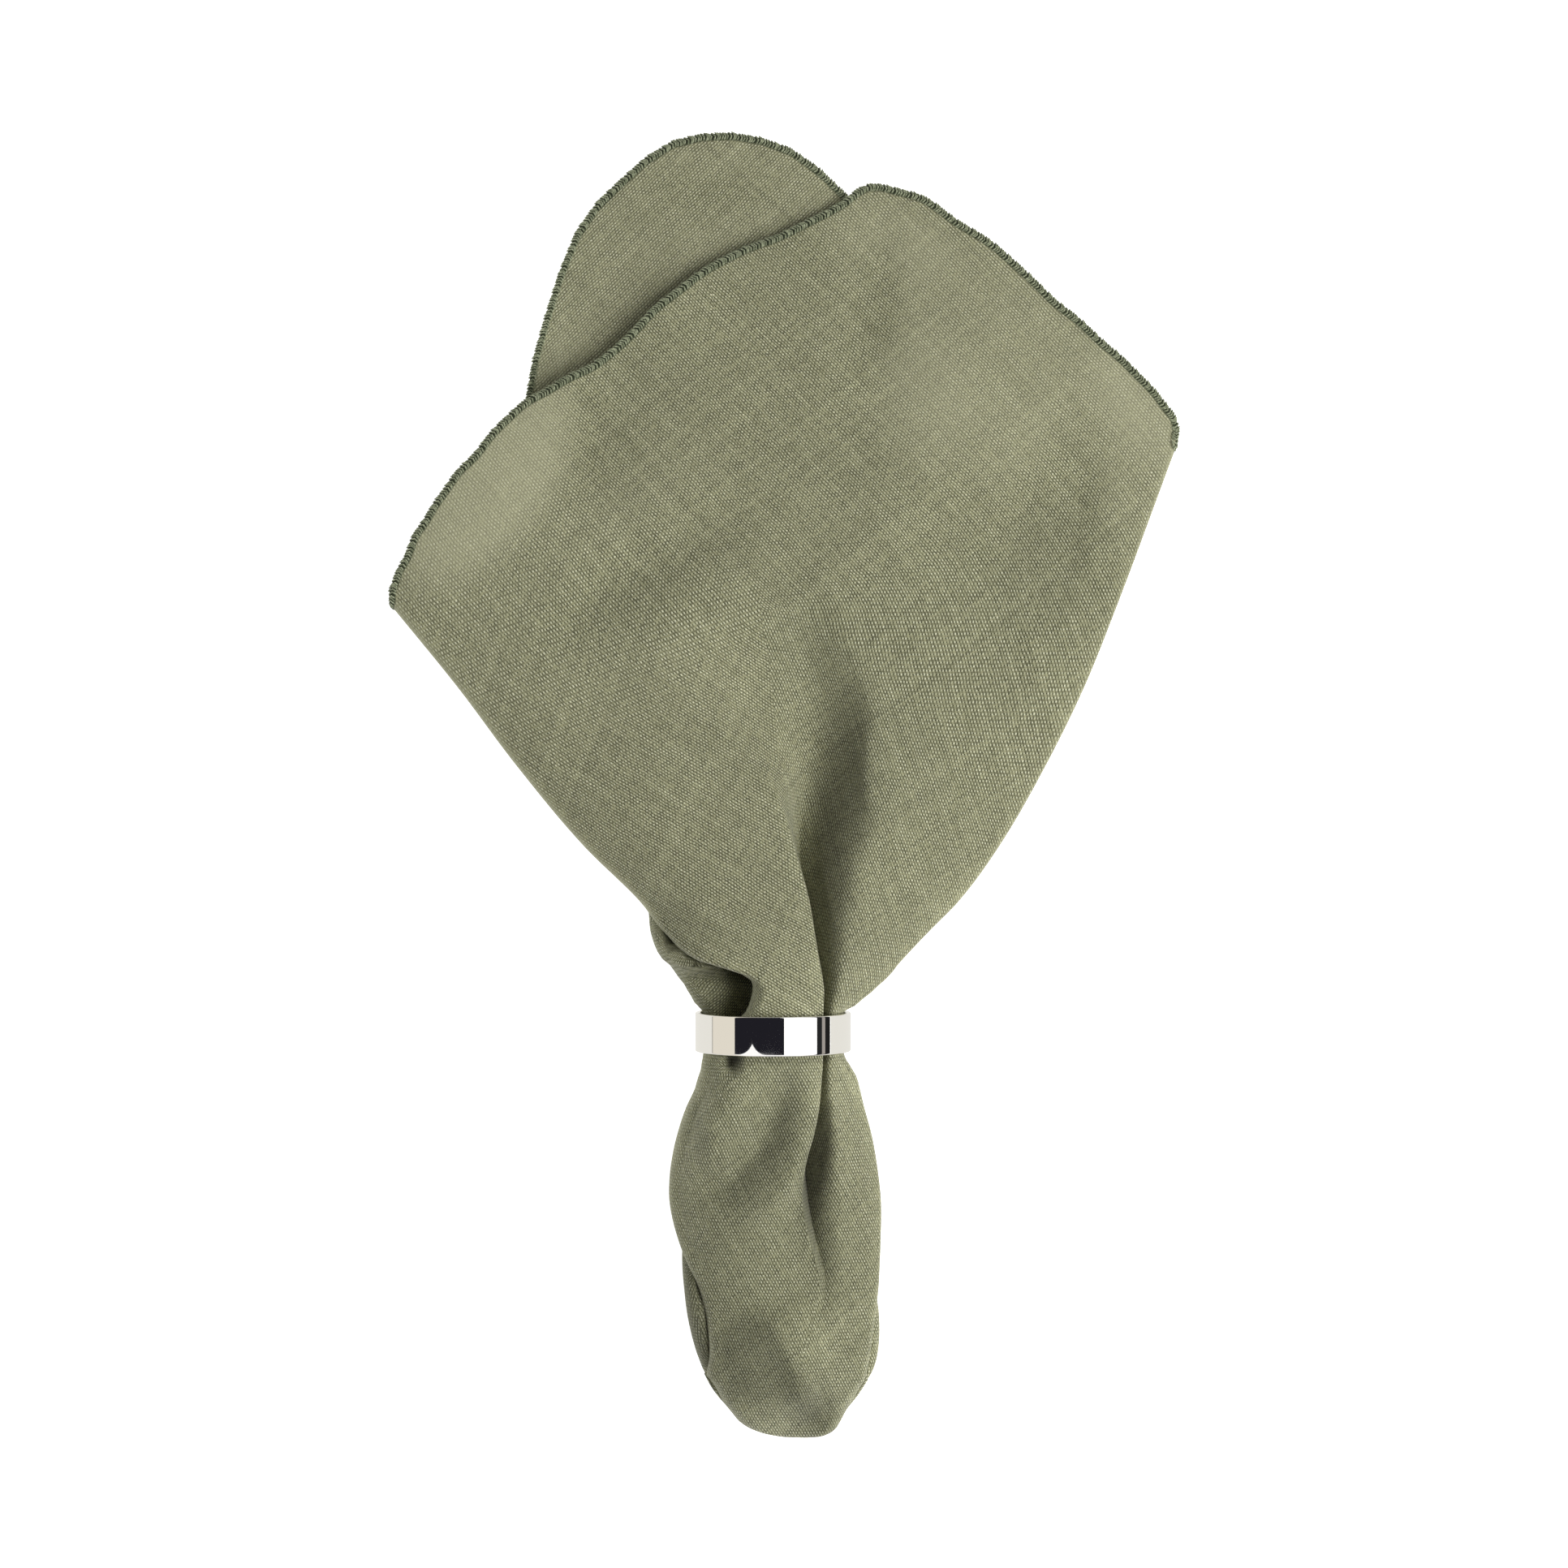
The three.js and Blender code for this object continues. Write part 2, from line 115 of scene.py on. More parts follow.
class Value:
    def __init__(self, shader, socket):
        self.shader, self.socket = shader, socket

    def maths(self, operation, *given):
        return self.shader.node("ShaderNodeMath", {"operation": operation}, dict(enumerate(given)))

    def __add__(self, other):
        return self.maths("ADD", self, other)

    def __sub__(self, other):
        return self.maths("SUBTRACT", self, other)

    def __rsub__(self, other):
        return self.maths("SUBTRACT", other, self)

    def __mul__(self, other):
        return self.maths("MULTIPLY", self, other)

    def __truediv__(self, other):
        return self.maths("DIVIDE", self, other)

    __radd__ = __add__
    __rmul__ = __mul__

    def floor(self):
        return self.maths("FLOOR", self)

    def sine(self):
        return self.maths("SINE", self)

    def size(self):
        return self.maths("ABSOLUTE", self)

    def most(self, other):
        return self.maths("MAXIMUM", self, other)

    def ramp(self, low, high, start=0.0, end=1.0):  # from start at low to end at high, smooth between
        inputs = {0: self, 1: low, 2: high, 3: start, 4: end}
        return self.shader.node("ShaderNodeMapRange", {"interpolation_type": "SMOOTHSTEP"}, inputs)


class Shader:
    def __init__(self, name):
        self.material = bpy.data.materials.new(name)
        self.material.use_nodes = True
        self.tree = self.material.node_tree
        self.tree.nodes.clear()

    def node(self, kind, settings=None, inputs=None, output=0):
        made = self.tree.nodes.new(kind)
        for key, value in (settings or {}).items():
            setattr(made, key, value)
        for key, value in (inputs or {}).items():
            if isinstance(value, Value):
                self.tree.links.new(value.socket, made.inputs[key])
            else:
                made.inputs[key].default_value = value
        return Value(self, made.outputs[output]) if made.outputs else None

    def attribute(self, name):
        return self.node("ShaderNodeAttribute", {"attribute_name": name}, None, "Fac")

    def vector(self, x, y, z=0.0):
        return self.node("ShaderNodeCombineXYZ", None, {0: x, 1: y, 2: z})

    def part(self, vector, axis):
        return self.node("ShaderNodeSeparateXYZ", None, {0: vector}, axis)

    def noise(self, vector, scale, detail=2.0):
        return self.node("ShaderNodeTexNoise", None, {"Vector": vector, "Scale": scale, "Detail": detail})

    def chance(self, value):  # a number from 0 to 1 for each whole value
        return self.node("ShaderNodeTexWhiteNoise", {"noise_dimensions": "1D"}, {"W": value})

    def blend(self, share, a, b):  # from colour a to colour b
        return self.node("ShaderNodeMix", {"data_type": "RGBA"}, {0: share, 6: a, 7: b}, 2)

    def scaled(self, colour, amount):
        return self.node("ShaderNodeVectorMath", {"operation": "SCALE"}, {0: colour, "Scale": amount})

    def bump(self, height, distance, strength):
        inputs = {"Height": height, "Distance": distance, "Strength": strength}
        return self.node("ShaderNodeBump", None, inputs)

    def surface(self, kind, inputs):
        made = self.node(kind, None, inputs)
        self.node("ShaderNodeOutputMaterial", None, {"Surface": made})
        return self.material


# The napkin: a square of linen pinched at its middle, which is the tail's tip. Each column of the
# grid is a line from the tip to the hem, and the columns go once round the cloth, back and forth
# through its layers.

napkin = {
    "flatSide": 0.5,  # metres, before it is folded
    "thickness": 0.5,
    "fanStart": -30.0,  # from here each column runs on to its own place on the hem
    "crownPower": 0.85,
    "crownSkew": 0.2,  # moves the crown's top to the left
    "leftPower": 1.5,  # makes its left flatter
    "lowerRightInset": 2.4,
    "widestFold": 3.0,
    "foldShare": 0.4,
    "sideShare": 0.3,
    "swellRoom": 2.6,  # between the front and what lies under it, less by its hem
    "swellFade": (90.0, 130.0, 0.2),
    "rollWide": 4.0,
    "lipUnder": (0.5, 0.6, 3.0),  # shares of the way to the valley's bottom, and millimetres past it
    "ringRoom": 9.0,  # creases fade out this close to the ring's middle
    "ringClear": 0.1,
    "ringPress": (0.4, 2.2),  # past the ring's edges the cloth is let go between these distances
    "creaseFade": (0.3, 0.25),  # shares of a crease's length past its ends and before them
    "plainSides": (-163.0, -146.0),  # the tail's round sides turn into tucks between these
    "bunch": 0.06,
    "bunchApart": 0.14,
    "tip": (5.6, -170.3, 5.0),
    "backLayer": 7,
    "flapLayer": 4,
    "hemInset": 0.5,  # the hem thread reaches this far past the cloth
    "cornerDrop": {"upperLeft": 2.6, "upperRight": 3.5},  # how far the hem falls round the outer folds
    "tipEnd": -152.0,
    "tipRows": 24,
    "bundleRows": 74,
    "fanRows": 74,
    "columnPull": 0.14,  # draws the front's columns to the pleat and to the folds
    # the outer folds' edges are made lighter, partly as the weave closing up and partly as painted light
    "foldEdgeLight": (-0.6, 4.0),  # the weave closes up on the outer folds, within these distances
    "foldLightWeight": {"tail": 0.4, "right": 0.35},
    "leastSquare": 0.7,  # the way along a column to the hem is shortened to no less than this share
    "hemWaves": ((0.14, 37.0, 0.4), (0.12, 61.0, 1.9)),  # height, waves along the stretch, start
    "waveFade": 0.1,
}

# Where the folds lie, seen from above, and the line of the pleat down the front
outline = readTable(
    ("y", "leftUpper", "leftLower", "rightUpper", "rightLower", "lip"),
    (-170.3, 5.1, 5.1, 6.1, 6.1, 5.0),
    (-170.1, 0.8, 0.8, 9.0, 9.0, 4.8),
    (-169.5, -3.4, -3.4, 11.2, 11.2, 4.5),
    (-168.4, -7.2, -7.2, 13.0, 13.0, 4.2),
    (-166.4, -10.8, -10.8, 14.4, 14.4, 3.8),
    (-163.0, -13.7, -13.7, 16.2, 16.2, 3.4),
    (-157.0, -18.4, -18.6, 20.2, 20.2, 3.0),
    (-153.0, -19.0, -20.8, 21.2, 22.8, 3.6),
    (-149.0, -18.9, -22.3, 21.8, 24.1, 4.2),
    (-139.0, -19.8, -24.8, 23.2, 24.6, 6.8),
    (-130.0, -21.9, -25.9, 24.3, 23.4, 8.6),
    (-124.0, -24.7, -26.4, 24.6, 23.0, 8.0),
    (-119.0, -26.8, -26.4, 24.8, 22.8, 6.6),
    (-108.0, -29.4, -27.8, 24.9, 22.8, 4.5),
    (-101.0, -29.3, -27.8, 24.2, 22.2, 4.7),
    (-95.0, -28.4, -27.0, 23.3, 21.4, 5.8),
    (-90.0, -27.2, -25.8, 22.3, 20.4, 7.2),
    (-83.0, -24.9, -23.7, 20.4, 19.2, 8.6),
    (-78.0, -22.6, -22.6, 19.2, 18.4, 9.1),
    (-75.0, -21.7, -21.7, 18.4, 17.8, 9.3),
    (-73.3, -21.1, -21.0, 17.5, 17.0, 9.4),
    (-72.2, -20.9, -20.8, 16.8, 16.4, 9.5),
    (-70.3, -20.7, -20.7, 15.9, 15.5, 9.6),
    (-68.5, -20.6, -20.7, 15.4, 15.0, 9.6),
    (-63.5, -15.5, -20.7, 15.4, 15.0, 9.6),
    (-58.5, -9.9, -20.8, 15.4, 15.0, 9.7),
    (-57.4, -9.2, -22.3, 16.9, 16.4, 9.7),
    (-55.6, -8.5, -23.2, 18.8, 17.4, 9.8),
    (-53.0, -7.8, -24.8, 22.2, 19.6, 9.9),
    (-51.0, -7.8, -26.0, 24.4, 21.4, 9.8),
    (-49.0, -9.0, -27.8, 26.8, 23.2, 9.5),
    (-47.0, -13.8, -28.8, 28.4, 25.0, 9.2),
    (-45.0, -21.2, -31.2, 30.2, 27.0, 8.8),
    (-38.0, -30.4, -34.4, 37.0, 34.0, 7.6),
    (-30.0, -37.1, -36.0, 45.0, 41.5, 6.3),
    (-16.0, -51.5, -47.0, 55.4, 51.5, 2.6),
    (5.0, -69.2, -64.0, 67.6, 63.0, -1.0),
    (25.0, -84.3, -79.0, 77.5, 72.5, -3.4),
    (47.0, -102.2, -96.5, 86.4, 82.0, -6.5),
    (90.0, -137.0, -129.0, 102.5, 96.5, -12.8),
    (172.0, -196.0, -186.0, 134.0, 126.0, -27.0),
)

# How high the bundle stands at its folds and over them, and how deep its tucks run
heights = readTable(
    ("y", "edgeBottom", "edgeTop", "crownTop", "crownBottom", "tuckDepth"),
    (-170.3, 4.0, 6.0, 0.0, 0.0, 0.0),
    (-169.8, 3.2, 7.0, 0.4, 0.4, 0.0),
    (-167.5, 2.0, 8.7, 1.0, 0.7, 0.0),
    (-163.0, 1.0, 10.4, 1.8, 0.4, 0.0),
    (-157.0, 0.5, 11.4, 2.9, 0.0, 0.0),
    (-151.0, 0.5, 11.7, 4.0, 0.0, 0.12),
    (-139.0, 0.5, 12.0, 6.2, 0.0, 0.42),
    (-126.0, 0.5, 12.3, 8.4, 0.0, 0.85),
    (-112.0, 0.5, 13.0, 11.5, 0.0, 1.0),
    (-96.0, 1.5, 15.0, 14.5, 1.0, 1.0),
    (-84.0, 5.4, 19.2, 14.9, 4.4, 1.0),
    (-76.0, 9.8, 23.6, 12.6, 7.8, 1.0),
    (-70.3, 13.1, 26.9, 10.8, 10.8, 1.0),
    (-64.0, 13.1, 26.9, 10.8, 10.8, 1.0),
    (-57.7, 13.1, 26.9, 10.8, 10.8, 1.0),
    (-53.0, 11.6, 25.2, 12.7, 9.2, 1.0),
    (-45.0, 7.2, 20.8, 15.4, 6.0, 1.0),
    (-34.0, 2.2, 17.8, 13.8, 1.7, 1.0),
    (-20.0, 0.5, 16.0, 10.8, 0.0, 1.0),
    (0.0, 0.5, 14.4, 8.6, 0.0, 1.0),
    (25.0, 0.5, 13.0, 5.8, 0.0, 1.0),
    (50.0, 0.5, 12.0, 4.0, 0.0, 1.0),
    (90.0, 0.5, 10.8, 3.1, 0.0, 1.0),
    (130.0, 0.5, 8.8, 2.0, 0.0, 1.0),
    (172.0, 0.5, 6.2, 1.0, 0.0, 1.0),
)

# The pleat: how far left of its lip the drop starts, how far right of it the valley's bottom and its
# far crest lie, how deep it is, how sharp the lip (0 to 1) and the crest are, how far the lip hangs
# over, how much it rolls down, and whether the far wall leaves the bottom at once (1) or slowly (0)
pleat = readTable(
    ("y", "start", "bottom", "crest", "depth", "crisp", "crestPower", "reach", "roll", "sudden"),
    (-138, 0, 2.0, 5.0, 0.0, 0.0, 1.5, 0.0, 0.0, 1),
    (-132, 0, 2.0, 5.2, 0.7, 0.0, 1.5, 0.0, 0.0, 1),
    (-124, 0, 2.0, 6.6, 2.4, 0.0, 1.5, 0.0, 0.0, 1),
    (-116, 0, 2.0, 8.4, 4.8, 0.0, 1.5, 0.0, 0.2, 1),
    (-107, 0, 1.8, 10.0, 7.6, 0.4, 1.6, 0.0, 0.6, 1),
    (-101, 0, 1.6, 9.4, 9.6, 0.8, 1.7, 0.8, 1.0, 1),
    (-95, 0, 1.4, 8.2, 10.4, 1.0, 1.8, 1.4, 1.3, 1),
    (-86, 0, 1.1, 5.0, 7.8, 1.0, 1.8, 1.2, 1.0, 1),
    (-76, 0, 1.0, 2.8, 4.0, 1.0, 1.5, 0.8, 0.6, 1),
    (-64, 0, 1.1, 2.8, 3.4, 1.0, 1.4, 0.6, 0.5, 1),
    (-54, 0, 1.1, 4.0, 5.4, 1.0, 1.9, 0.8, 0.6, 1),
    (-46, 0, 1.2, 6.8, 8.6, 1.0, 2.2, 1.2, 0.8, 1),
    (-38, 0, 1.4, 9.8, 11.2, 1.0, 2.3, 1.6, 0.9, 1),
    (-28, 0, 1.6, 13.2, 13.6, 1.0, 2.3, 1.8, 0.9, 1),
    (-18, 0, 2.2, 18.2, 14.4, 1.0, 1.7, 1.6, 0.8, 0.9),
    (-9, 1, 4.0, 21.8, 13.6, 0.8, 1.4, 1.0, 0.6, 0.4),
    (0, 4, 7.0, 21.4, 12.2, 0.4, 1.1, 0.0, 0.4, 0),
    (10, 14, 9.6, 23.0, 10.2, 0.1, 1.0, 0.0, 0.2, 0),
    (20, 22, 10.0, 25.8, 8.4, 0.0, 1.3, 0.0, 0.0, 0),
    (31, 26, 10.0, 24.0, 5.8, 0.0, 1.5, 0.0, 0.0, 0),
    (42, 26, 9.5, 21.5, 3.0, 0.0, 1.8, 0.0, 0.0, 0),
    (52, 26, 9.0, 20.0, 1.0, 0.0, 2.0, 0.0, 0.0, 0),
    (62, 26, 9.0, 20.0, 0.0, 0.0, 2.0, 0.0, 0.0, 0),
)

# The flap at the left, under the front, stands up by this share of the way to the crowned top, from
# and within these distances left of the front's fold
flap = readTable(
    ("y", "share", "start", "within"),
    (-157, 0, -2, 2), (-150, 0.7, -2.5, 1), (-140, 0.94, -2.5, 1), (-130, 0.94, -2.5, 1),
    (-122, 0.8, -2.5, 1), (-108, 0.7, -2, 2), (-100, 0.9, -2.5, 1), (-84, 0.98, -2.5, 0.8),
    (-76, 0.98, -2.5, 0.8), (-74, 0.97, -1.8, 1.6), (-72, 0.92, -1, 2.6), (-70.3, 0.8, -1, 3),
    (-68.5, 0.5, -1, 4), (-58.5, 0.28, -1, 8), (-54, 0.34, -1, 9), (-49, 0.34, -1, 8.5),
    (-46, 0.78, -2, 3), (-42, 0.95, -2.5, 1.2), (-38, 0.9, -2, 1.6), (-33, 0.5, -1, 4), (-28, 0, -1, 4),
)

# Soft ridges (+) and troughs (-) of the front, each from its lower end to its upper one: the bow to the
# right on the way, the widths to its left and right, and the power of its bell (2 is round, 1 is sharp)
creases = namedRows(
    ("start", "end", "bow", "wide", "rise", "power"),
    ((-100, 38), (-69, 91), 0, (12, 12), 1.2, 2),
    ((-56, 42), (-14, 68), -2, (8, 8), -2.2, 2),
    ((-52, 76), (-38, 112), 0, (9, 12), -1.6, 2),
    ((1.5, -4), (-2, 33), -1, (3.5, 5), 1.0, 2),
    ((26, 62), (52, 122), 0, (14, 16), 1.6, 2),
    ((66, 44), (76, 82), 3, (9, 6), -1.8, 2),
    ((-62, 100), (-22, 132), 0, (9, 9), 2.0, 2),
    ((22, 112), (24, 142), 0, (7, 6), -1.0, 2),
    ((-5, -108.5), (8, -80), 3.4, (3.5, 3), 2.0, 1.6),
    ((-20, -105), (-0.6, -75), 3.4, (7, 5.2), -4.6, 2),
    ((-13.2, -71), (-12.6, -61), 0, (1.7, 1.9), -22, 2),
    ((-14, -101), (-16, -78), 0, (5, 9), 1.5, 2),
    ((-19, -97), (-20, -82), 0, (3, 3), 0.9, 2),
    ((4.6, -160), (-4, -138), 1.5, (15, 18), 6.2, 1.05),
    ((11, -167), (10, -151), 0, (4, 5), -1.3, 2),
    ((-17, -117.6), (-5, -118.8), 0, (1.1, 1.1), 0.22, 2),
    ((-18, -121), (-6, -122), 0, (1.1, 1.1), 0.25, 2),
    ((-17, -124.2), (-7, -125), 0, (1.1, 1.1), 0.22, 2),
)

# The walk through the layers, from the top (0) to the back (7). Hems that show are given by places in
# x and y, hidden ones by their reach along +Y across the stretch, from its left fold (-1) to its right
# one (+1).
walk = [
    {
        "layer": 0, "from": "upperLeft", "to": "upperRight", "columns": 150, "turnColumns": 7,
        "hemLine": (
            (-102.9, 48.6), (-97.9, 60.6), (-87.9, 77.0), (-80.3, 86.1), (-71.3, 96.0), (-65.7, 100.6),
            (-58.2, 104.5), (-46.8, 111.3), (-39.4, 118), (-31.8, 125.6), (-24.2, 131.7),
            (-13.1, 138.5), (-1.7, 143.3), (8.2, 147.9), (15.4, 152.4), (19.8, 155.7), (24, 156.5),
            (30.2, 155.1), (37.1, 152.8), (45.8, 146.9), (56.1, 139.8), (64.8, 132.0), (71.8, 125.3),
            (82.3, 116.4), (92.1, 107.2), (99.6, 98.8), (102, 95.4), (102.9, 91.9),
        ),
    },
    {
        "layer": 1, "from": "upperRight", "to": "tuckTop", "columns": 9, "turnColumns": 3,
        "hem": ((-1, 64), (0.2, 70), (1, 90.5)),
    },
    {
        "layer": 2, "from": "tuckTop", "to": "middleRight", "columns": 36, "turnColumns": 5,
        "hemLine": (
            (-89, 64), (-79, 84), (-66.9, 101.4), (-65.6, 111.3), (-60.3, 128.3), (-56.3, 141.2),
            (-47.2, 153.8), (-38.1, 162.3), (-32.4, 166.8), (-24.6, 169.4), (-17.1, 170.6),
            (-7.5, 169.4), (0.6, 166.9), (7.8, 162.6), (12.5, 158.3), (16.7, 153.7), (34, 137),
            (62, 110), (92, 82),
        ),
    },
    {
        "layer": 5, "from": "middleRight", "to": "tuckLow", "columns": 9, "turnColumns": 3,
        "hem": ((-1, 60), (0, 66), (1, 82)),
    },
    {
        "layer": 6, "from": "tuckLow", "to": "lowerRight", "columns": 12, "turnColumns": 3,
        "hem": ((-1, 60), (-0.3, 103), (0.12, 137), (0.6, 102), (1, 74)),
    },
    {
        "layer": 7, "from": "lowerRight", "to": "lowerLeft", "columns": 10, "turnColumns": 5,
        "hem": ((-1, 40), (0, 58), (1, 74)),
    },
    {
        "layer": 4, "from": "lowerLeft", "to": "tuckMiddle", "columns": 16, "turnColumns": 3,
        "hem": ((-1, 40), (-0.2, 94), (0.28, 133), (0.7, 104), (1, 78)),
    },
    {
        "layer": 3, "from": "tuckMiddle", "to": "upperLeft", "columns": 9, "turnColumns": 7,
        "hem": ((-1, 48.5), (0, 62), (1, 78)),
    },
]
tuckShort = {"tuckTop": (6, 0.22), "tuckLow": (7, 0.1), "tuckMiddle": (5, 0.08)}  # at the ring, growth


def shortBy(tuck, y):
    atRing, growth = tuckShort[tuck]
    return atRing + growth * np.maximum(0, y - napkin["fanStart"])


def foldsAt(y):
    # every fold's place at the stations y
    f = {**outline(y), **heights(y), **pleat(y)}
    lowerRight = f["rightLower"] - napkin["lowerRightInset"]
    leftInner = np.maximum(f["leftUpper"], f["leftLower"])
    rightInner = np.minimum(f["rightUpper"], lowerRight)
    deep = f["tuckDepth"]
    f.update(
        left=np.minimum(f["leftUpper"], f["leftLower"]),
        right=np.maximum(f["rightUpper"], f["rightLower"]),
        upperLeft=f["leftUpper"],
        upperRight=f["rightUpper"],
        middleRight=f["rightLower"],
        lowerRight=lowerRight,
        lowerLeft=f["leftLower"],
        tuckTop=mix(rightInner, f["leftUpper"] + shortBy("tuckTop", y), deep),
        tuckLow=mix(rightInner, f["leftLower"] + shortBy("tuckLow", y), deep),
        tuckMiddle=mix(leftInner, f["rightLower"] - shortBy("tuckMiddle", y), deep),
    )
    return f


def offRing(y):
    # 0 inside the ring and 1 away from it
    return 1 - np.exp(-(((y - ring["y"]) / napkin["ringRoom"]) ** 4))


def creaseHeight(x, y):
    # the sum of soft bars: a bell across each bar, faded out past its two ends and inside the ring
    total = np.zeros(np.broadcast(x, y).shape)
    for c in creases:
        start, end = np.array(c["start"], float), np.array(c["end"], float)
        length = np.hypot(*(end - start))
        along = (end - start) / length
        t = ((x - start[0]) * along[0] + (y - start[1]) * along[1]) / length
        off = (x - start[0]) * along[1] - (y - start[1]) * along[0] - 4 * c["bow"] * t * (1 - t)
        wide = np.where(off < 0, *c["wide"])
        past, before = napkin["creaseFade"]
        faded = softStep(t, -past, before) * (1 - softStep(t, 1 - before, 1 + past))
        total += c["rise"] * faded * np.exp(-(np.abs(off / wide) ** c["power"]))
    return total * offRing(y)


def pleatRelief(f, x):
    # from the lip the cloth drops to the valley's bottom by a quarter wave, or a soft S where the lip
    # isn't crisp, and rises to the far crest by a quarter wave or a power of what is left. Left of the
    # lip it rolls down.
    d = x - f["lip"]
    drop = np.clip((d + f["start"]) / (f["start"] + f["bottom"]), 0, 1)
    fall = mix(softStep(drop, 0, 1), np.sin(drop * math.pi / 2), f["crisp"])
    climb = np.clip((d - f["bottom"]) / (f["crest"] - f["bottom"]), 0, 1)
    rise = np.maximum(0, mix(np.cos(climb * math.pi / 2), 1 - climb, f["sudden"])) ** f["crestPower"]
    roll = np.clip(1 + d / napkin["rollWide"], 0, 1) ** 2 * (1 - softStep(d, 0, f["crest"]))
    return -f["depth"] * fall * rise - f["roll"] * roll


def underLip(f, x):
    # the wall below the lip goes back under it, and comes out again past the valley's bottom
    d = x - f["lip"]
    deep, turn, past = napkin["lipUnder"]
    under = softStep(d, 0, deep * f["bottom"])
    out = softStep(d, turn * f["bottom"], f["bottom"] + past)
    return f["reach"] * under * (1 - out)


def layerHeight(f, layer, x, y):
    # layers are spread between the bundle's underside and its crowned top, the front has its relief
    across = (2 * x - f["left"] - f["right"]) / (f["right"] - f["left"])
    bulge = np.maximum(0, 1 - across**2) ** napkin["crownPower"]
    skewed = across + napkin["crownSkew"] * offRing(y) * (1 - across**2)
    power = np.where(skewed < 0, mix(1, napkin["leftPower"], offRing(y)), 1)
    crown = np.maximum(0, 1 - np.abs(skewed) ** (2 * power)) ** napkin["crownPower"]
    top = f["edgeTop"] + f["crownTop"] * crown
    bottom = f["edgeBottom"] - f["crownBottom"] * bulge
    if layer == 0:
        return top + pleatRelief(f, x) + creaseHeight(x, y)
    last = napkin["backLayer"]
    fadeFrom, fadeTo, left = napkin["swellFade"]
    room = f["depth"] + f["roll"] + napkin["swellRoom"] * mix(1, left, softStep(y, fadeFrom, fadeTo))
    underFront = top - (top - bottom) / last - room * bulge
    found = mix(bottom, underFront, (last - layer) / (last - 1))
    if layer == napkin["flapLayer"]:
        raised = flap(y)
        step = softStep(f["leftUpper"] - x, raised["start"], raised["within"])
        found = mix(found, top, raised["share"] * step)
    return found


def foldBulge(f, fold, layerA, layerB, length, y):
    # a fold's half circle: half the drop between its layers, up to a limit and to a share of the stretch
    drop = layerHeight(f, layerA, f[fold], y) - layerHeight(f, layerB, f[fold], y)
    return np.minimum(np.minimum(np.abs(drop) / 2, napkin["widestFold"]), napkin["foldShare"] * length)


def sideRound(f):
    # how far the tail's round side reaches in: half its height, up to a share of its width
    return np.minimum((f["edgeTop"] - f["edgeBottom"]) / 2, napkin["sideShare"] * (f["right"] - f["left"]))


def sidePoint(f, outwards, angle, y):
    # a point on the tail's round side, turned down by angle from its top
    reach = sideRound(f)
    edge = np.where(outwards > 0, f["right"], f["left"]) - outwards * reach
    upper = layerHeight(f, 0, edge, y)
    lower = layerHeight(f, napkin["backLayer"], edge, y)
    x = edge + outwards * reach * np.sin(angle)
    return x, (upper + lower) / 2 + (upper - lower) / 2 * np.cos(angle)


def sideAngle(layer):
    # the top and the back start at the side's two ends, the layers between are bunched at its middle
    last = napkin["backLayer"]
    if layer in (0, last):
        return math.pi * (layer == last)
    return math.pi / 2 + (layer - last / 2) * napkin["bunchApart"]


def columnSteps(stretch):
    # columns evenly across a stretch, on the front drawn by a sine to the pleat and to the folds
    share = np.linspace(-1, 1, stretch["columns"])
    if stretch["layer"] == 0:
        share = share - napkin["columnPull"] * np.sin(2 * math.pi * share) / math.pi * 2
    return share if stretch["sense"] > 0 else share[::-1]


def stretchEnds(k, f, y):
    # a stretch's left end, middle and right end in x, each end short of its fold by the fold's half circle
    stretch, before, after = walk[k], walk[k - 1], walk[(k + 1) % len(walk)]
    sense = stretch["sense"]
    length = np.abs(f[stretch["to"]] - f[stretch["from"]])
    tucked = softStep(y, *napkin["plainSides"])
    plain = sideRound(f)
    startBulge = foldBulge(f, stretch["from"], before["layer"], stretch["layer"], length, y)
    endBulge = foldBulge(f, stretch["to"], stretch["layer"], after["layer"], length, y)
    start = f[stretch["from"]] + sense * mix(plain, startBulge, tucked)
    end = f[stretch["to"]] - sense * mix(plain, endBulge, tucked)
    left, right = (start, end) if sense > 0 else (end, start)
    middle = f["lip"] if stretch["layer"] == 0 else (left + right) / 2
    return left, middle, right


def hemReach(k, across):
    # how far along +Y each column of a stretch goes
    stretch = walk[k]
    rows = np.array(stretch.get("hem", stretch.get("hemLine")), float)
    if "hemLine" in stretch:
        run = np.gradient(rows, axis=0)
        length = np.linalg.norm(run, axis=1, keepdims=True)
        rows = rows + napkin["hemInset"] * run[:, ::-1] * [1, -1] / length
        left, middle, right = stretchEnds(k, foldsAt(rows[:, 1]), rows[:, 1])
        off = rows[:, 0] - middle
        rows[:, 0] = off / np.where(off < 0, middle - left, right - middle)
    return readTable(("across", "reach"), *rows)(across)["reach"]


def stretchBlock(k, across, y):
    # points on one stretch, straight between its folds in x, with the heights of its layer
    stretch = walk[k]
    f = foldsAt(y)
    tucked = softStep(y, *napkin["plainSides"])
    left, middle, right = stretchEnds(k, f, y)
    x = mix(middle, np.where(across < 0, left, right), np.abs(across))
    z = layerHeight(f, stretch["layer"], x, y)
    if stretch["layer"] == 0:
        x = x - underLip(f, x)
    if stretch["layer"] not in (0, napkin["backLayer"]):
        outwards = stretch["outwards"]
        onwards = across * stretch["sense"] * outwards
        turned = sideAngle(stretch["layer"]) + napkin["bunch"] / 2 * onwards
        sideX, sideZ = sidePoint(f, outwards, turned, y)
        x, z = mix(sideX, x, tucked), mix(sideZ, z, tucked)
    return x, z


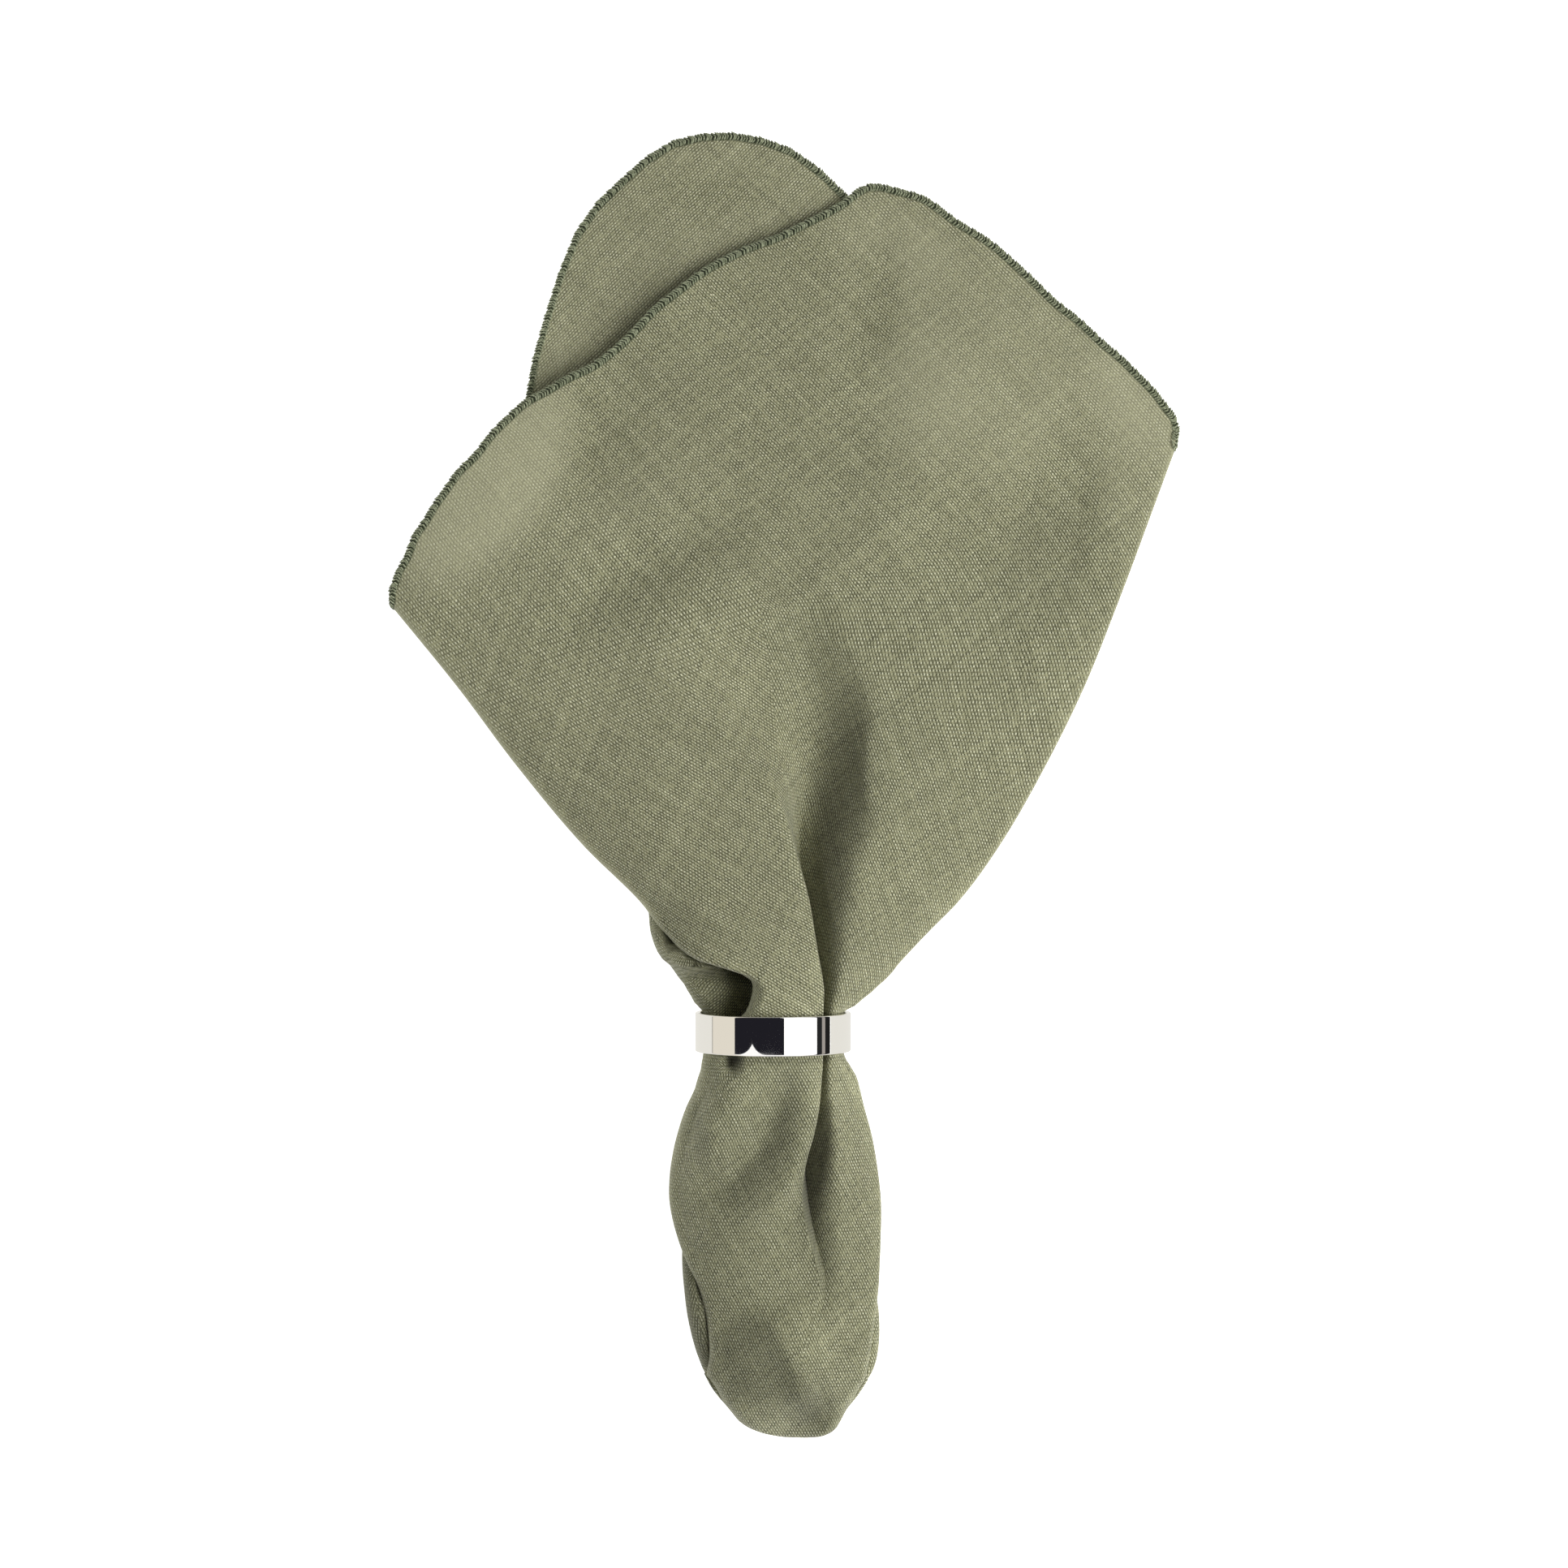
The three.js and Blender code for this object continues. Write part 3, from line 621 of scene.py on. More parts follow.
def foldBlock(k, angle, y):
    # points round the fold at a stretch's end, on a half circle between its two layers
    stretch, after = walk[k], walk[(k + 1) % len(walk)]
    f = foldsAt(y)
    sense = stretch["sense"]
    length = np.abs(f[stretch["to"]] - f[stretch["from"]])
    tucked = softStep(y, *napkin["plainSides"])
    bulge = foldBulge(f, stretch["to"], stretch["layer"], after["layer"], length, y)
    end = f[stretch["to"]] - sense * bulge
    upper = layerHeight(f, stretch["layer"], end, y)
    lower = layerHeight(f, after["layer"], end, y)
    x = end + sense * bulge * np.sin(angle)
    z = (upper + lower) / 2 + (upper - lower) / 2 * np.cos(angle)
    outwards = -1 if stretch["to"] == "lowerLeft" else stretch["outwards"]
    turned = mix(sideAngle(stretch["layer"]), sideAngle(after["layer"]), angle / math.pi)
    sideX, sideZ = sidePoint(f, outwards, turned, y)
    return mix(sideX, x, tucked), mix(sideZ, z, tucked)


def rowStations(reach):
    # rows from the tip to the start of the fan, then shares of the way to each column's hem
    tipStart, tipEnd, fanStart = napkin["tip"][1], napkin["tipEnd"], napkin["fanStart"]
    nearShare = np.arange(1, napkin["tipRows"]) / napkin["tipRows"]
    near = tipStart + (tipEnd - tipStart) * nearShare**2
    bundle = np.concatenate([near, np.linspace(tipEnd, fanStart, napkin["bundleRows"], endpoint=False)])
    share = np.linspace(0, 1, napkin["fanRows"])
    fan = fanStart + (reach[:, None] - fanStart) * share
    return np.concatenate([np.broadcast_to(bundle, (len(reach), len(bundle))), fan], axis=1)


def fitted(x, y):
    # each side of the bundle drawn out to its outline, row by row, where all columns share their y
    rows = y.max(0) - y.min(0) < 0.01
    f = foldsAt(y[:1])
    middle = (f["left"] + f["right"]) / 2
    left, right = x.min(0) - middle, x.max(0) - middle
    share = np.where(x < middle, (f["left"] - middle) / left, (f["right"] - middle) / right)
    return np.where(rows, middle + (x - middle) * share, x)


def pressed(x, y, z):
    # what would stand past the ring's inside is drawn in towards its axis
    inner = ring["outer"] - ring["wall"] - napkin["thickness"] / 2 - napkin["ringClear"]
    across, up = x - ring["x"], z - ring["outer"]
    inside = 1 - softStep(np.abs(y - ring["y"]) - ring["width"] / 2, *napkin["ringPress"])
    share = mix(1, np.minimum(1, inner / np.maximum(np.hypot(across, up), 0.01)), inside)
    return ring["x"] + across * share, ring["outer"] + up * share


def napkinGrid():
    # the blocks of all stretches and folds, one after the other: x, y, z and the stretch of each column
    # and its place across it
    passedBack = False
    for stretch in walk:
        passedBack = passedBack or stretch["layer"] == napkin["backLayer"]
        stretch["outwards"] = -1 if passedBack else 1
        isRightward = stretch["to"] in ("upperRight", "middleRight", "lowerRight", "tuckMiddle")
        stretch["sense"] = 1 if isRightward else -1
    steps, reaches = [], []
    for k, stretch in enumerate(walk):
        across = columnSteps(stretch)
        reach = hemReach(k, across)
        fade = softStep(1 - np.abs(across), 0, napkin["waveFade"])
        for high, waves, start in napkin["hemWaves"]:
            reach = reach + high * fade * np.sin(waves * across + start)
        steps.append(across)
        reaches.append(reach)
    found = []
    for k, stretch in enumerate(walk):
        y = rowStations(reaches[k])
        x, z = stretchBlock(k, steps[k][:, None], y)
        found.append((x, y, z, np.full(stretch["columns"], k), steps[k]))
        angle = np.linspace(0, math.pi, stretch["turnColumns"] + 2)[1:-1]
        after = (k + 1) % len(walk)
        drop = napkin["cornerDrop"].get(stretch["to"], 0)
        reach = mix(reaches[k][-1], reaches[after][0], angle / math.pi) - drop * np.sin(angle)
        y = rowStations(reach)
        x, z = foldBlock(k, angle[:, None], y)
        # the fold that leads back to the front counts as the front's
        foldOwner, foldAcross = (0, steps[0][0]) if after == 0 else (k, steps[k][-1])
        found.append((x, y, z, np.full(len(angle), foldOwner), np.full(len(angle), foldAcross)))
    x, y, z, owner, across = (np.concatenate(part) for part in zip(*found))
    x = fitted(x, y)
    x, z = pressed(x, y, z)
    return np.stack([x, y, z], -1).transpose(1, 0, 2), owner, across


# Threads: two sets of lines with these turns from +X in degrees. On the front of the fan each half turns
# with the cloth that the pleat takes in, about the pleat's end, by these angles.
threads = {
    "fan": (-45.5, 39.0),
    "tail": (-62.0, 38.0),
    "under": (45.0, -41.0),
    "pleatEnd": (3.0, 46.0),
    "leftTurn": (14.0, 24.0),
    "rightTurn": (-24.0, -7.0),
    "turnFrom": 55.0,
    "turnTo": 140.0,
    "tailHomes": (-0.45, 0.55),  # places across the front from which the tail's threads are rolled out
}


def threadPlace(x, y, isFront, isLeft):
    # distances from the two sets of lines that pass through the origin, in the cloth before the pleat
    # is laid
    across, up = x - threads["pleatEnd"][0], y - threads["pleatEnd"][1]
    radius, angle = np.hypot(across, up), np.arctan2(across, up)
    turns = np.where(isLeft, -1.0 * (angle > math.pi / 2), 1.0 * (angle < -math.pi / 2))
    angle = angle + 2 * math.pi * turns
    turned = softStep(np.degrees(np.abs(angle)), threads["turnFrom"], threads["turnTo"])

    def fromLine(degrees):
        line = math.radians(degrees)
        return y * math.cos(line) - x * math.sin(line)

    places = []
    for k in range(2):
        sideTurn = np.where(isLeft, threads["leftTurn"][k], threads["rightTurn"][k])
        flat = angle + np.radians(sideTurn) * turned
        line = math.radians(threads["fan"][k])
        fan = radius * (np.cos(flat) * math.cos(line) - np.sin(flat) * math.sin(line))
        onFan = np.where(isFront, fan, fromLine(threads["under"][k]))
        places.append(np.where(y < ring["y"], fromLine(threads["tail"][k]), onFan))
    return np.stack(places, -1)


def unfolded(points, owner, across):
    # each quad's x with the cloth rolled out from its stretch's home column: on the front the fold on its
    # side of the pleat, or the middle of that side in the tail, and elsewhere the stretch's middle
    rows, columns = points.shape[:2]
    step = np.diff(np.concatenate([points, points[:, :1]], 1), axis=1)[..., [0, 2]]
    run = np.concatenate([np.zeros((rows, 1)), np.cumsum(np.linalg.norm(step, axis=-1), axis=1)], axis=1)
    number = np.arange(columns)
    first = np.array([number[owner == k][0] for k in range(len(walk))])
    count = np.array([s["columns"] for s in walk])
    home = (first + count // 2)[owner]
    home = np.where(owner == 0, np.where(across < 0, first[0], first[0] + count[0] - 1), home)
    sense = np.array([s["sense"] for s in walk])[owner]
    inTail = np.where(across < 0, *np.searchsorted(across[:count[0]], threads["tailHomes"]))
    inTail = np.where(owner == 0, inTail, home)
    isTail = points[:, :1, 1] < ring["y"]
    start = np.where(isTail, points[:, inTail, 0], points[:, home, 0])
    lap = run[:, -1:] * (number >= first[-1] + count[-1])  # the walk's last fold leads on to its start
    startRun = np.where(isTail, run[:, inTail], run[:, home]) + lap
    return start + sense * (run[:, :-1] - startRun), start + sense * (run[:, 1:] - startRun)


# Tones: ovals where the cloth is lighter (+), as where one layer lies on the table, or as painted light
# that lifts a shadow, or darker (-), where a layer shows through it, or as painted shade where a fold, a
# pit or the ring keeps the light out. Each has its half lengths, its turn in degrees and the width of its
# soft rim.
toneLightShadePatches = namedRows(
    ("layer", "middle", "half", "turn", "soft", "toneLightShade"),
    (0, (-79, 79), (31, 17.5), 52, 0.35, 1.2),
    (0, (-47, 92), (18, 9), 70, 0.7, -0.3),
    (0, (62, 106), (50, 25), -42, 0.4, 0.5),
    (0, (94, 98), (18, 9), -50, 0.6, 0.75),
    (0, (25, 127), (13, 5), 85, 0.8, -0.5),
    (0, (68, 66), (23, 9), 70, 0.8, -0.75),
    (0, (-36, 52), (26, 12), 32, 0.9, -0.35),
    (0, (12.5, -24), (19, 4.6), 96, 0.9, -1.0),
    (0, (16.5, 2), (17, 8), 84, 0.8, -1.1),
    (0, (4, 32), (15, 5), 100, 0.9, -0.35),
    (0, (-7.5, -149), (12, 11), -20, 0.4, -1.0),
    (0, (8.2, -161), (11, 5), -65, 0.7, -1.0),
    (0, (0, -126), (60, 46), 0, 0.15, -0.3),
    (0, (-11, -101), (24, 12), 78, 0.6, -0.4),
    (0, (0.5, -85), (11, 3.5), 77, 0.8, -0.7),
    (0, (-6.5, -99.5), (11, 3.4), 47, 0.8, -0.6),
    (0, (8, -99), (13, 3.5), 80, 0.7, -1.2),
    (0, (-62, 56), (44, 44), 0, 0.6, 0.25),
    (0, (28, 143), (16, 9), -25, 0.6, 0.5),
    (0, (25, -42), (18, 9), 45, 0.6, -0.3),
    (0, (-12.8, -69.6), (2.3, 2.4), 0, 0.6, -2.4),
    (0, (17, -110), (34, 10), 90, 0.4, -0.25),
    (0, (6.8, -117), (15, 4.5), 100, 0.9, -0.6),
    (0, (-25.5, -98), (24, 3.4), 98, 0.8, 0.6),
    (0, (-14.5, -133), (8, 3), -50, 0.8, -0.45),
    (0, (1, -69.4), (15, 1.4), 0, 0.6, -0.9),
    (0, (36, 98), (16, 11), 90, 0.6, 0.45),
    (0, (-36, 114), (15, 7), 40, 0.8, -0.25),
    (0, (4.5, -163), (7, 4.5), -70, 0.8, -0.6),
    (0, (-18.5, -146), (10, 1.8), -75, 0.8, 0.6),
    (0, (6, -71.5), (9, 4), 0, 0.8, -0.35),
    (0, (-20, -79), (9, 2), 105, 0.8, 0.5),
    (2, (-60, 108), (8, 5), 40, 0.8, 0.7),
    (4, (-31.5, -40), (6, 4.5), 0, 0.8, 0.9),
    (4, (-17, -47.5), (8, 2.4), -10, 0.8, -1.2),
    (4, (-24, -138), (8, 17), 0, 0.3, -1.2),
    (7, (-24, -138), (8, 17), 0, 0.3, -1.2),
    (2, (-20, 140), (80, 50), 0, 0.2, 0.3),
    (2, (-20, 154), (16, 5), 0, 0.9, -0.35),
)


def toneLightShadeAt(points, owner):
    # the sum of oval patches, each fading from its middle to its rim: lighter or darker cloth, and painted
    # light and shade
    layer = np.array([s["layer"] for s in walk])[owner][None, :]
    x, y = points[..., 0], points[..., 1]
    toneLightShade = np.zeros(x.shape)
    for patch in toneLightShadePatches:
        turn = math.radians(patch["turn"])
        dx, dy = x - patch["middle"][0], y - patch["middle"][1]
        along = (dx * math.cos(turn) + dy * math.sin(turn)) / patch["half"][0]
        off = (dy * math.cos(turn) - dx * math.sin(turn)) / patch["half"][1]
        inside = 1 - softStep(np.hypot(along, off), 1 - patch["soft"], 1 + patch["soft"])
        toneLightShade += np.where(layer == patch["layer"], patch["toneLightShade"] * inside, 0)
    return toneLightShade


def foldEdgeLightAt(points, owner):
    # on the front, from the weight of an outer fold on its edge down to 0 away from it: where the outer
    # folds are lightened, partly by the weave closing up and partly as painted light
    x, y = points[..., 0], points[..., 1]
    f, weight = foldsAt(y), napkin["foldLightWeight"]
    left = np.where(y < ring["y"], weight["tail"], 1) * (1 - softStep(x - f["left"], *napkin["foldEdgeLight"]))
    right = weight["right"] * (1 - softStep(f["right"] - x, *napkin["foldEdgeLight"]))
    return np.where(owner == 0, np.maximum(left, right), 0)


def toHemAt(points):
    # the way along each column to the hem, shortened where the column meets it at a slant
    steps = np.linalg.norm(np.diff(points, axis=0), axis=-1)
    along = np.concatenate([np.zeros((1, points.shape[1])), np.cumsum(steps, axis=0)])
    slant = (ahead(points[-1]) * unit(points[-2] - points[-1])).sum(1)
    squareness = np.sqrt(np.maximum(0, 1 - slant**2))
    return (along[-1] - along) * np.maximum(squareness, napkin["leastSquare"])


def layThreads(mesh, points, owner, across):
    # every face corner's place among the threads, as the cloth's own UV map
    left, right = unfolded(points, owner, across)
    y = points[..., 1]
    isFront, isLeft = np.broadcast_to(owner == 0, y.shape), np.broadcast_to(across < 0, y.shape)
    leftThreads = threadPlace(left, y, isFront, isLeft)
    rightThreads = threadPlace(right, np.roll(y, -1, axis=1), isFront, isLeft)
    corners = [leftThreads[:-1], rightThreads[:-1], rightThreads[1:], leftThreads[1:]]
    tipThreads = np.broadcast_to(leftThreads[0, 0], leftThreads[0].shape)
    capCorners = [tipThreads, rightThreads[0], leftThreads[0]]
    places = [np.stack(corners, 2).reshape(-1, 2), np.stack(capCorners, 1).reshape(-1, 2)]
    layer = mesh.uv_layers.new(name="threads")
    layer.data.foreach_set("uv", (np.concatenate(places) * mm).astype(np.float32).ravel())


def makeNapkin(material):
    points, owner, across = napkinGrid()
    points[..., 2] = np.maximum(points[..., 2], napkin["thickness"] / 2)
    rows, columns = points.shape[:2]
    vertices = np.concatenate([[napkin["tip"]], points.reshape(-1, 3)])
    quads = gridFaces(rows, columns) + 1
    around = np.arange(columns)
    caps = np.stack([np.zeros(columns, int), (around + 1) % columns + 1, around + 1], -1)
    piece = newPiece("linen_napkin", vertices, quads.tolist() + caps.tolist(), material)
    layThreads(piece.data, points, owner, across)
    grids = {"toHem": toHemAt(points), "toneLightShade": toneLightShadeAt(points, owner), "foldEdgeLight": foldEdgeLightAt(points, owner)}
    for name, grid in grids.items():
        values = np.concatenate([[grid[0].mean()], grid.ravel()]).astype(np.float32)
        piece.data.attributes.new(name, "FLOAT", "POINT").data.foreach_set("value", values)
    sheet = piece.modifiers.new("thickness", "SOLIDIFY")
    sheet.thickness, sheet.offset = napkin["thickness"] * mm, 0
    return piece, points


# The overlocked hem: one thread wound round the edge, its turns slanted to a V on both faces

overlock = {
    "pitch": 0.72,  # from turn to turn along the hem
    "reach": 0.98,
    "inset": 0.74,
    "half": 0.5,  # height above the cloth's middle
    "thread": 0.22,
    "slant": 0.95,
    "uneven": 0.16,  # no two turns lie quite alike
    "unevenWaves": (0.31, 0.193),
    "perTurn": 8,
    "sides": 4,
}


def makeOverlock(points, material):
    # a line that goes round the hem by a sine and a cosine of its turns, and a tube of few sides along it
    hem = points[-1]
    gaps = np.linalg.norm(np.diff(np.concatenate([hem, hem[:1]]), axis=0), axis=1)
    place = np.concatenate([[0], np.cumsum(gaps)])
    turns = round(place[-1] / overlock["pitch"])
    count = turns * overlock["perTurn"]
    share = np.arange(count) / count
    wound = 2 * math.pi * turns * share
    slow, slower = overlock["unevenWaves"]
    uneven = overlock["uneven"] * (np.sin(wound * slow) + np.sin(wound * slower + 1))
    at = share * place[-1] + (overlock["slant"] * np.sin(wound) ** 2 + uneven) * overlock["pitch"]
    at = at % place[-1]

    def carried(values):  # values of the hem's points, read off at the thread's places
        closed = np.concatenate([values, values[:1]])
        return np.stack([np.interp(at, place, closed[:, k]) for k in range(3)], -1)

    tangent = ahead(hem)
    inwards = squareTo(tangent, unit(points[-2] - hem))
    upwards = np.cross(tangent, inwards)
    sine, cosine = np.sin(wound)[:, None], np.cos(wound)[:, None]
    reach = overlock["inset"] + overlock["reach"] * (1 + 0.5 * uneven[:, None]) * cosine
    line = carried(hem) + carried(inwards) * reach + carried(upwards) * (overlock["half"] * sine)

    along = ahead(line)
    outwards = squareTo(along, carried(upwards) * sine + carried(inwards) * cosine)
    across = np.cross(along, outwards)
    angle = np.arange(overlock["sides"]) * 2 * math.pi / overlock["sides"]
    tube = outwards[:, None] * np.cos(angle)[:, None] + across[:, None] * np.sin(angle)[:, None]
    tube = line[:, None] + overlock["thread"] * tube
    vertices = tube.reshape(-1, 3)
    vertices[:, 2] = np.maximum(vertices[:, 2], 0.0)
    faces = gridFaces(count + 1, overlock["sides"]) % len(vertices)
    piece = newPiece("overlock_thread", vertices, faces.tolist(), material)
    piece.data.polygons.foreach_set("use_smooth", np.zeros(len(piece.data.polygons), bool))
    return piece


# The ring: a flat band with softened edges, standing on the table

ring = {
    "x": -2.8,
    "y": -63.5,
    "outer": 20.0,
    "wall": 1.2,
    "width": 10.0,
    "soft": 0.4,
    "around": 288,
    "softSteps": 6,
    "support": 0.06,  # from each bend to the points that keep the flats flat
}


def makeRing(material):
    # a rounded oblong carried once round the ring's axis, which lies along Y
    soft = ring["soft"]
    outer, inner = ring["outer"] - soft, ring["outer"] - ring["wall"] + soft
    back, front = ring["width"] / 2 - soft, soft - ring["width"] / 2
    arc = np.linspace(0, math.pi / 2, ring["softSteps"])
    corners = []
    for k, (a, b) in enumerate([(outer, back), (inner, back), (inner, front), (outer, front)]):
        turn = arc + k * math.pi / 2
        bend = np.stack([a + soft * np.cos(turn), b + soft * np.sin(turn)], -1)
        onwards = np.stack([-np.sin(turn), np.cos(turn)], -1) * ring["support"]
        corners += [bend[:1] - onwards[:1], bend, bend[-1:] + onwards[-1:]]
    profile = np.concatenate(corners)
    angle = np.arange(ring["around"]) * 2 * math.pi / ring["around"]
    x = ring["x"] + np.sin(angle)[:, None] * profile[:, 0]
    z = ring["outer"] + np.cos(angle)[:, None] * profile[:, 0]
    y = ring["y"] + np.broadcast_to(profile[:, 1], x.shape)
    vertices = np.stack([x, y, z], -1).reshape(-1, 3)
    faces = gridFaces(len(angle) + 1, len(profile)) % len(vertices)
    return newPiece("ring_band", vertices, faces.tolist(), material)


# Finishes

linenLook = {
    "warp": 0.00066, "weft": 0.000475,  # metres from thread to thread
    # pale is a painted highlight on the warp's tops
    "thread": (0.33, 0.329, 0.194, 1), "pale": (0.68, 0.677, 0.492, 1), "gap": (0.025, 0.026, 0.012, 1),
    # the lighter colour of one layer over the table, also used as painted light
    "sheerAndPaintedLight": (0.54, 0.53, 0.35, 1),
    # hemThread: painted shade in the gaps between the hem thread's turns
    "hemThread": (0.045, 0.055, 0.028, 1),
    # closed: the weave closed up on the outer folds, lighter than the thread as painted light
    "closed": (0.46, 0.457, 0.285, 1),
    "wander": (1.2, 0.7),  # in threads, over a long way and over a short one
    "wanderScales": (90.0, 520.0, 470.0),  # the long way, then the short ones of warp and weft
    "wideWarp": 0.92, "wideWeft": 0.8,  # a thread's share of the pitch
    "slub": 0.5, "uneven": 0.1,  # its change along a thread and from thread to thread
    "slubPace": 0.035,
    "rideWarp": (0.72, 0.28), "rideWeft": (0.43, 0.22),  # mean height and its swing over and under
    "cover": 0.18,  # every other gap is half covered
    "gapEnds": (0.02, 0.55, 0.5),  # heights where the gap's dark ends and the thread is full, by crossing
    # where and how strongly the painted highlight lies on the warp's tops
    "paintedWarpHighlight": {"from": 0.45, "least": 0.25, "slub": 0.8},  # the pale tops of the warp
    "streakWarp": 0.08, "streakWeft": 0.18,
    "mottle": 0.25, "mottleScales": (45.0, 260.0),
    "foldLightShare": 0.7,
    "toneStep": 0.3,
    "hemBand": (1.5, 2.1),  # millimetres from the edge to where the hem's shade ends
    "bump": (0.00015, 0.6),
    "finish": {"Roughness": 0.92, "Specular IOR Level": 0.25, "Sheen Weight": 0.12, "Sheen Roughness": 0.5},
}


def linenMaterial():
    # two sets of round threads that go over and under each other, with a painted highlight where the warp
    # lies on top
    s = Shader("linen")
    look = linenLook
    uv = s.node("ShaderNodeUVMap", {"uv_map": "threads"})
    u, v = s.part(uv, 0), s.part(uv, 1)
    longWay, shortWay = look["wander"]
    longScale, warpScale, weftScale = look["wanderScales"]
    wander = (s.noise(uv, longScale) - 0.5) * longWay
    a = u / look["warp"] + wander + (s.noise(uv, warpScale) - 0.5) * shortWay
    b = v / look["weft"] - wander + (s.noise(s.vector(v, u), weftScale) - 0.5) * shortWay
    # odd factors give each thread and each crossing a noise of its own
    i, j = a.floor(), b.floor()
    slubA = s.noise(s.vector(i * 3.7, b * look["slubPace"]), 1.0)
    slubB = s.noise(s.vector(j * 5.3, a * look["slubPace"], 7.0), 1.0)
    chanceA, chanceB = s.chance(i), s.chance(j + 0.37)
    crossing = s.chance(i * 131.7 + j)

    def ridge(off, slub, chance, wide):  # 1 on a thread's middle and 0 at its sides
        share = off.size() * 2 / (wide + (slub - 0.5) * look["slub"] + (chance - 0.5) * look["uneven"])
        return (1 - share * share).most(0)

    meanA, swingA = look["rideWarp"]
    meanB, swingB = look["rideWeft"]
    ridgeA = ridge(a - i - 0.5, slubA, chanceA, look["wideWarp"])
    ridgeB = ridge(b - j - 0.5, slubB, chanceB, look["wideWeft"])
    overA = ridgeA * (meanA + swingA * ((b + i) * math.pi).sine())
    overB = ridgeB * (meanB - swingB * ((a + j) * math.pi).sine())
    covered = 1 - ((b + (a - 0.5).floor() + 0.5) * math.pi).sine()
    height = overA.most(overB).most(covered * look["cover"])
    gapLow, gapHigh, gapSwing = look["gapEnds"]
    cloth = s.blend(height.ramp(gapLow, gapHigh + crossing * gapSwing), look["gap"], look["thread"])
    # a painted highlight on the warp's tops, stronger at random crossings
    paintedWarpHighlight = look["paintedWarpHighlight"]
    paintedHighlightStrength = paintedWarpHighlight["least"] + crossing * (1 - paintedWarpHighlight["least"]) + (slubA - 0.5) * paintedWarpHighlight["slub"]
    cloth = s.blend(overA.ramp(paintedWarpHighlight["from"], 1.0) * paintedHighlightStrength, cloth, look["pale"])
    streak = (chanceA - 0.5) * look["streakWarp"] + (chanceB - 0.5) * look["streakWeft"]
    wide, fine = look["mottleScales"]
    mottle = (s.noise(uv, wide, 3.0) + s.noise(uv, fine) - 1) * look["mottle"]
    cloth = s.scaled(cloth, 1 + streak + mottle)
    # the outer folds' edges get the closed colour: the weave closing up and painted light
    cloth = s.blend(s.attribute("foldEdgeLight") * look["foldLightShare"], cloth, look["closed"])
    # lighter where one layer lies on the table and as painted light, darker where a layer shows through and
    # as painted shade in folds, pits and under the ring
    toneLightShade = s.attribute("toneLightShade")
    cloth = s.blend(toneLightShade.most(0) * look["toneStep"], cloth, look["sheerAndPaintedLight"])
    cloth = s.scaled(cloth, 1 - (0 - toneLightShade).most(0) * look["toneStep"])
    # painted shade under the hem thread, from the edge in to the band's end
    cloth = s.blend(s.attribute("toHem").ramp(*look["hemBand"], 1, 0), cloth, look["hemThread"])
    inputs = {"Base Color": cloth, "Normal": s.bump(height, *look["bump"]), **look["finish"]}
    return s.surface("ShaderNodeBsdfPrincipled", inputs)


overlockLook = {
    "dark": (0.19, 0.213, 0.13, 1),
    # light: pale flecks on the thread, partly its own fuzz and partly painted glints
    "light": (0.42, 0.45, 0.30, 1),
    "fuzzScale": 1500.0,
    "fuzzEnds": (0.35, 0.65),
    "bump": (0.0001, 0.4),
    "finish": {"Roughness": 0.85, "Specular IOR Level": 0.3},
}


def overlockMaterial():
    s = Shader("overlock_thread")
    where = s.node("ShaderNodeTexCoord", None, None, "Object")
    fuzz = s.noise(where, overlockLook["fuzzScale"])
    # flecks at random along the thread: its fuzz, and painted glints on its loops
    share = fuzz.ramp(*overlockLook["fuzzEnds"])
    colour = s.blend(share, overlockLook["dark"], overlockLook["light"])
    bump = s.bump(fuzz, *overlockLook["bump"])
    inputs = {"Base Color": colour, "Normal": bump, **overlockLook["finish"]}
    return s.surface("ShaderNodeBsdfPrincipled", inputs)


ringLook = {"metal": (0.90, 0.885, 0.86, 1), "roughness": (0.008, 0.025), "rubbed": (400, 40, 400)}


def ringMaterial():
    s = Shader("polished_ring")
    where = s.node("ShaderNodeTexCoord", None, None, "Object")
    drawn = s.node("ShaderNodeMapping", None, {"Vector": where, "Scale": ringLook["rubbed"]})
    roughness = s.noise(drawn, 1.0, 4.0).ramp(0.3, 0.9, *ringLook["roughness"])
    inputs = {"Base Color": ringLook["metal"], "Metallic": 1.0, "Roughness": roughness}
    return s.surface("ShaderNodeBsdfPrincipled", inputs)


def glowMaterial(name, colour, strength):
    s = Shader(name)
    return s.surface("ShaderNodeEmission", {"Color": (*colour, 1), "Strength": strength})


def floorMaterial():
    s = Shader("pale_floor")
    inputs = {"Base Color": (0.8, 0.8, 0.8, 1), "Roughness": 0.9, "Specular IOR Level": 0.0}
    inputs.update({"Emission Color": (1, 1, 1, 1), "Emission Strength": 0.95})
    return s.surface("ShaderNodeBsdfPrincipled", inputs)


# Making the pieces

cloth, clothPoints = makeNapkin(linenMaterial())
hemThread = makeOverlock(clothPoints, overlockMaterial())
band = makeRing(ringMaterial())
print("pieces made:", *(f"{p.name} {len(p.data.polygons)} faces" for p in (cloth, hemThread, band)))

for piece, slot in ((cloth, "linen"), (hemThread, "linen"), (band, "ring_metal")):
    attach(piece, "root")
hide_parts("napkin")
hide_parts("napkin_ring")

# The stage: a pale floor, soft lights, and cards that only the polished ring shows

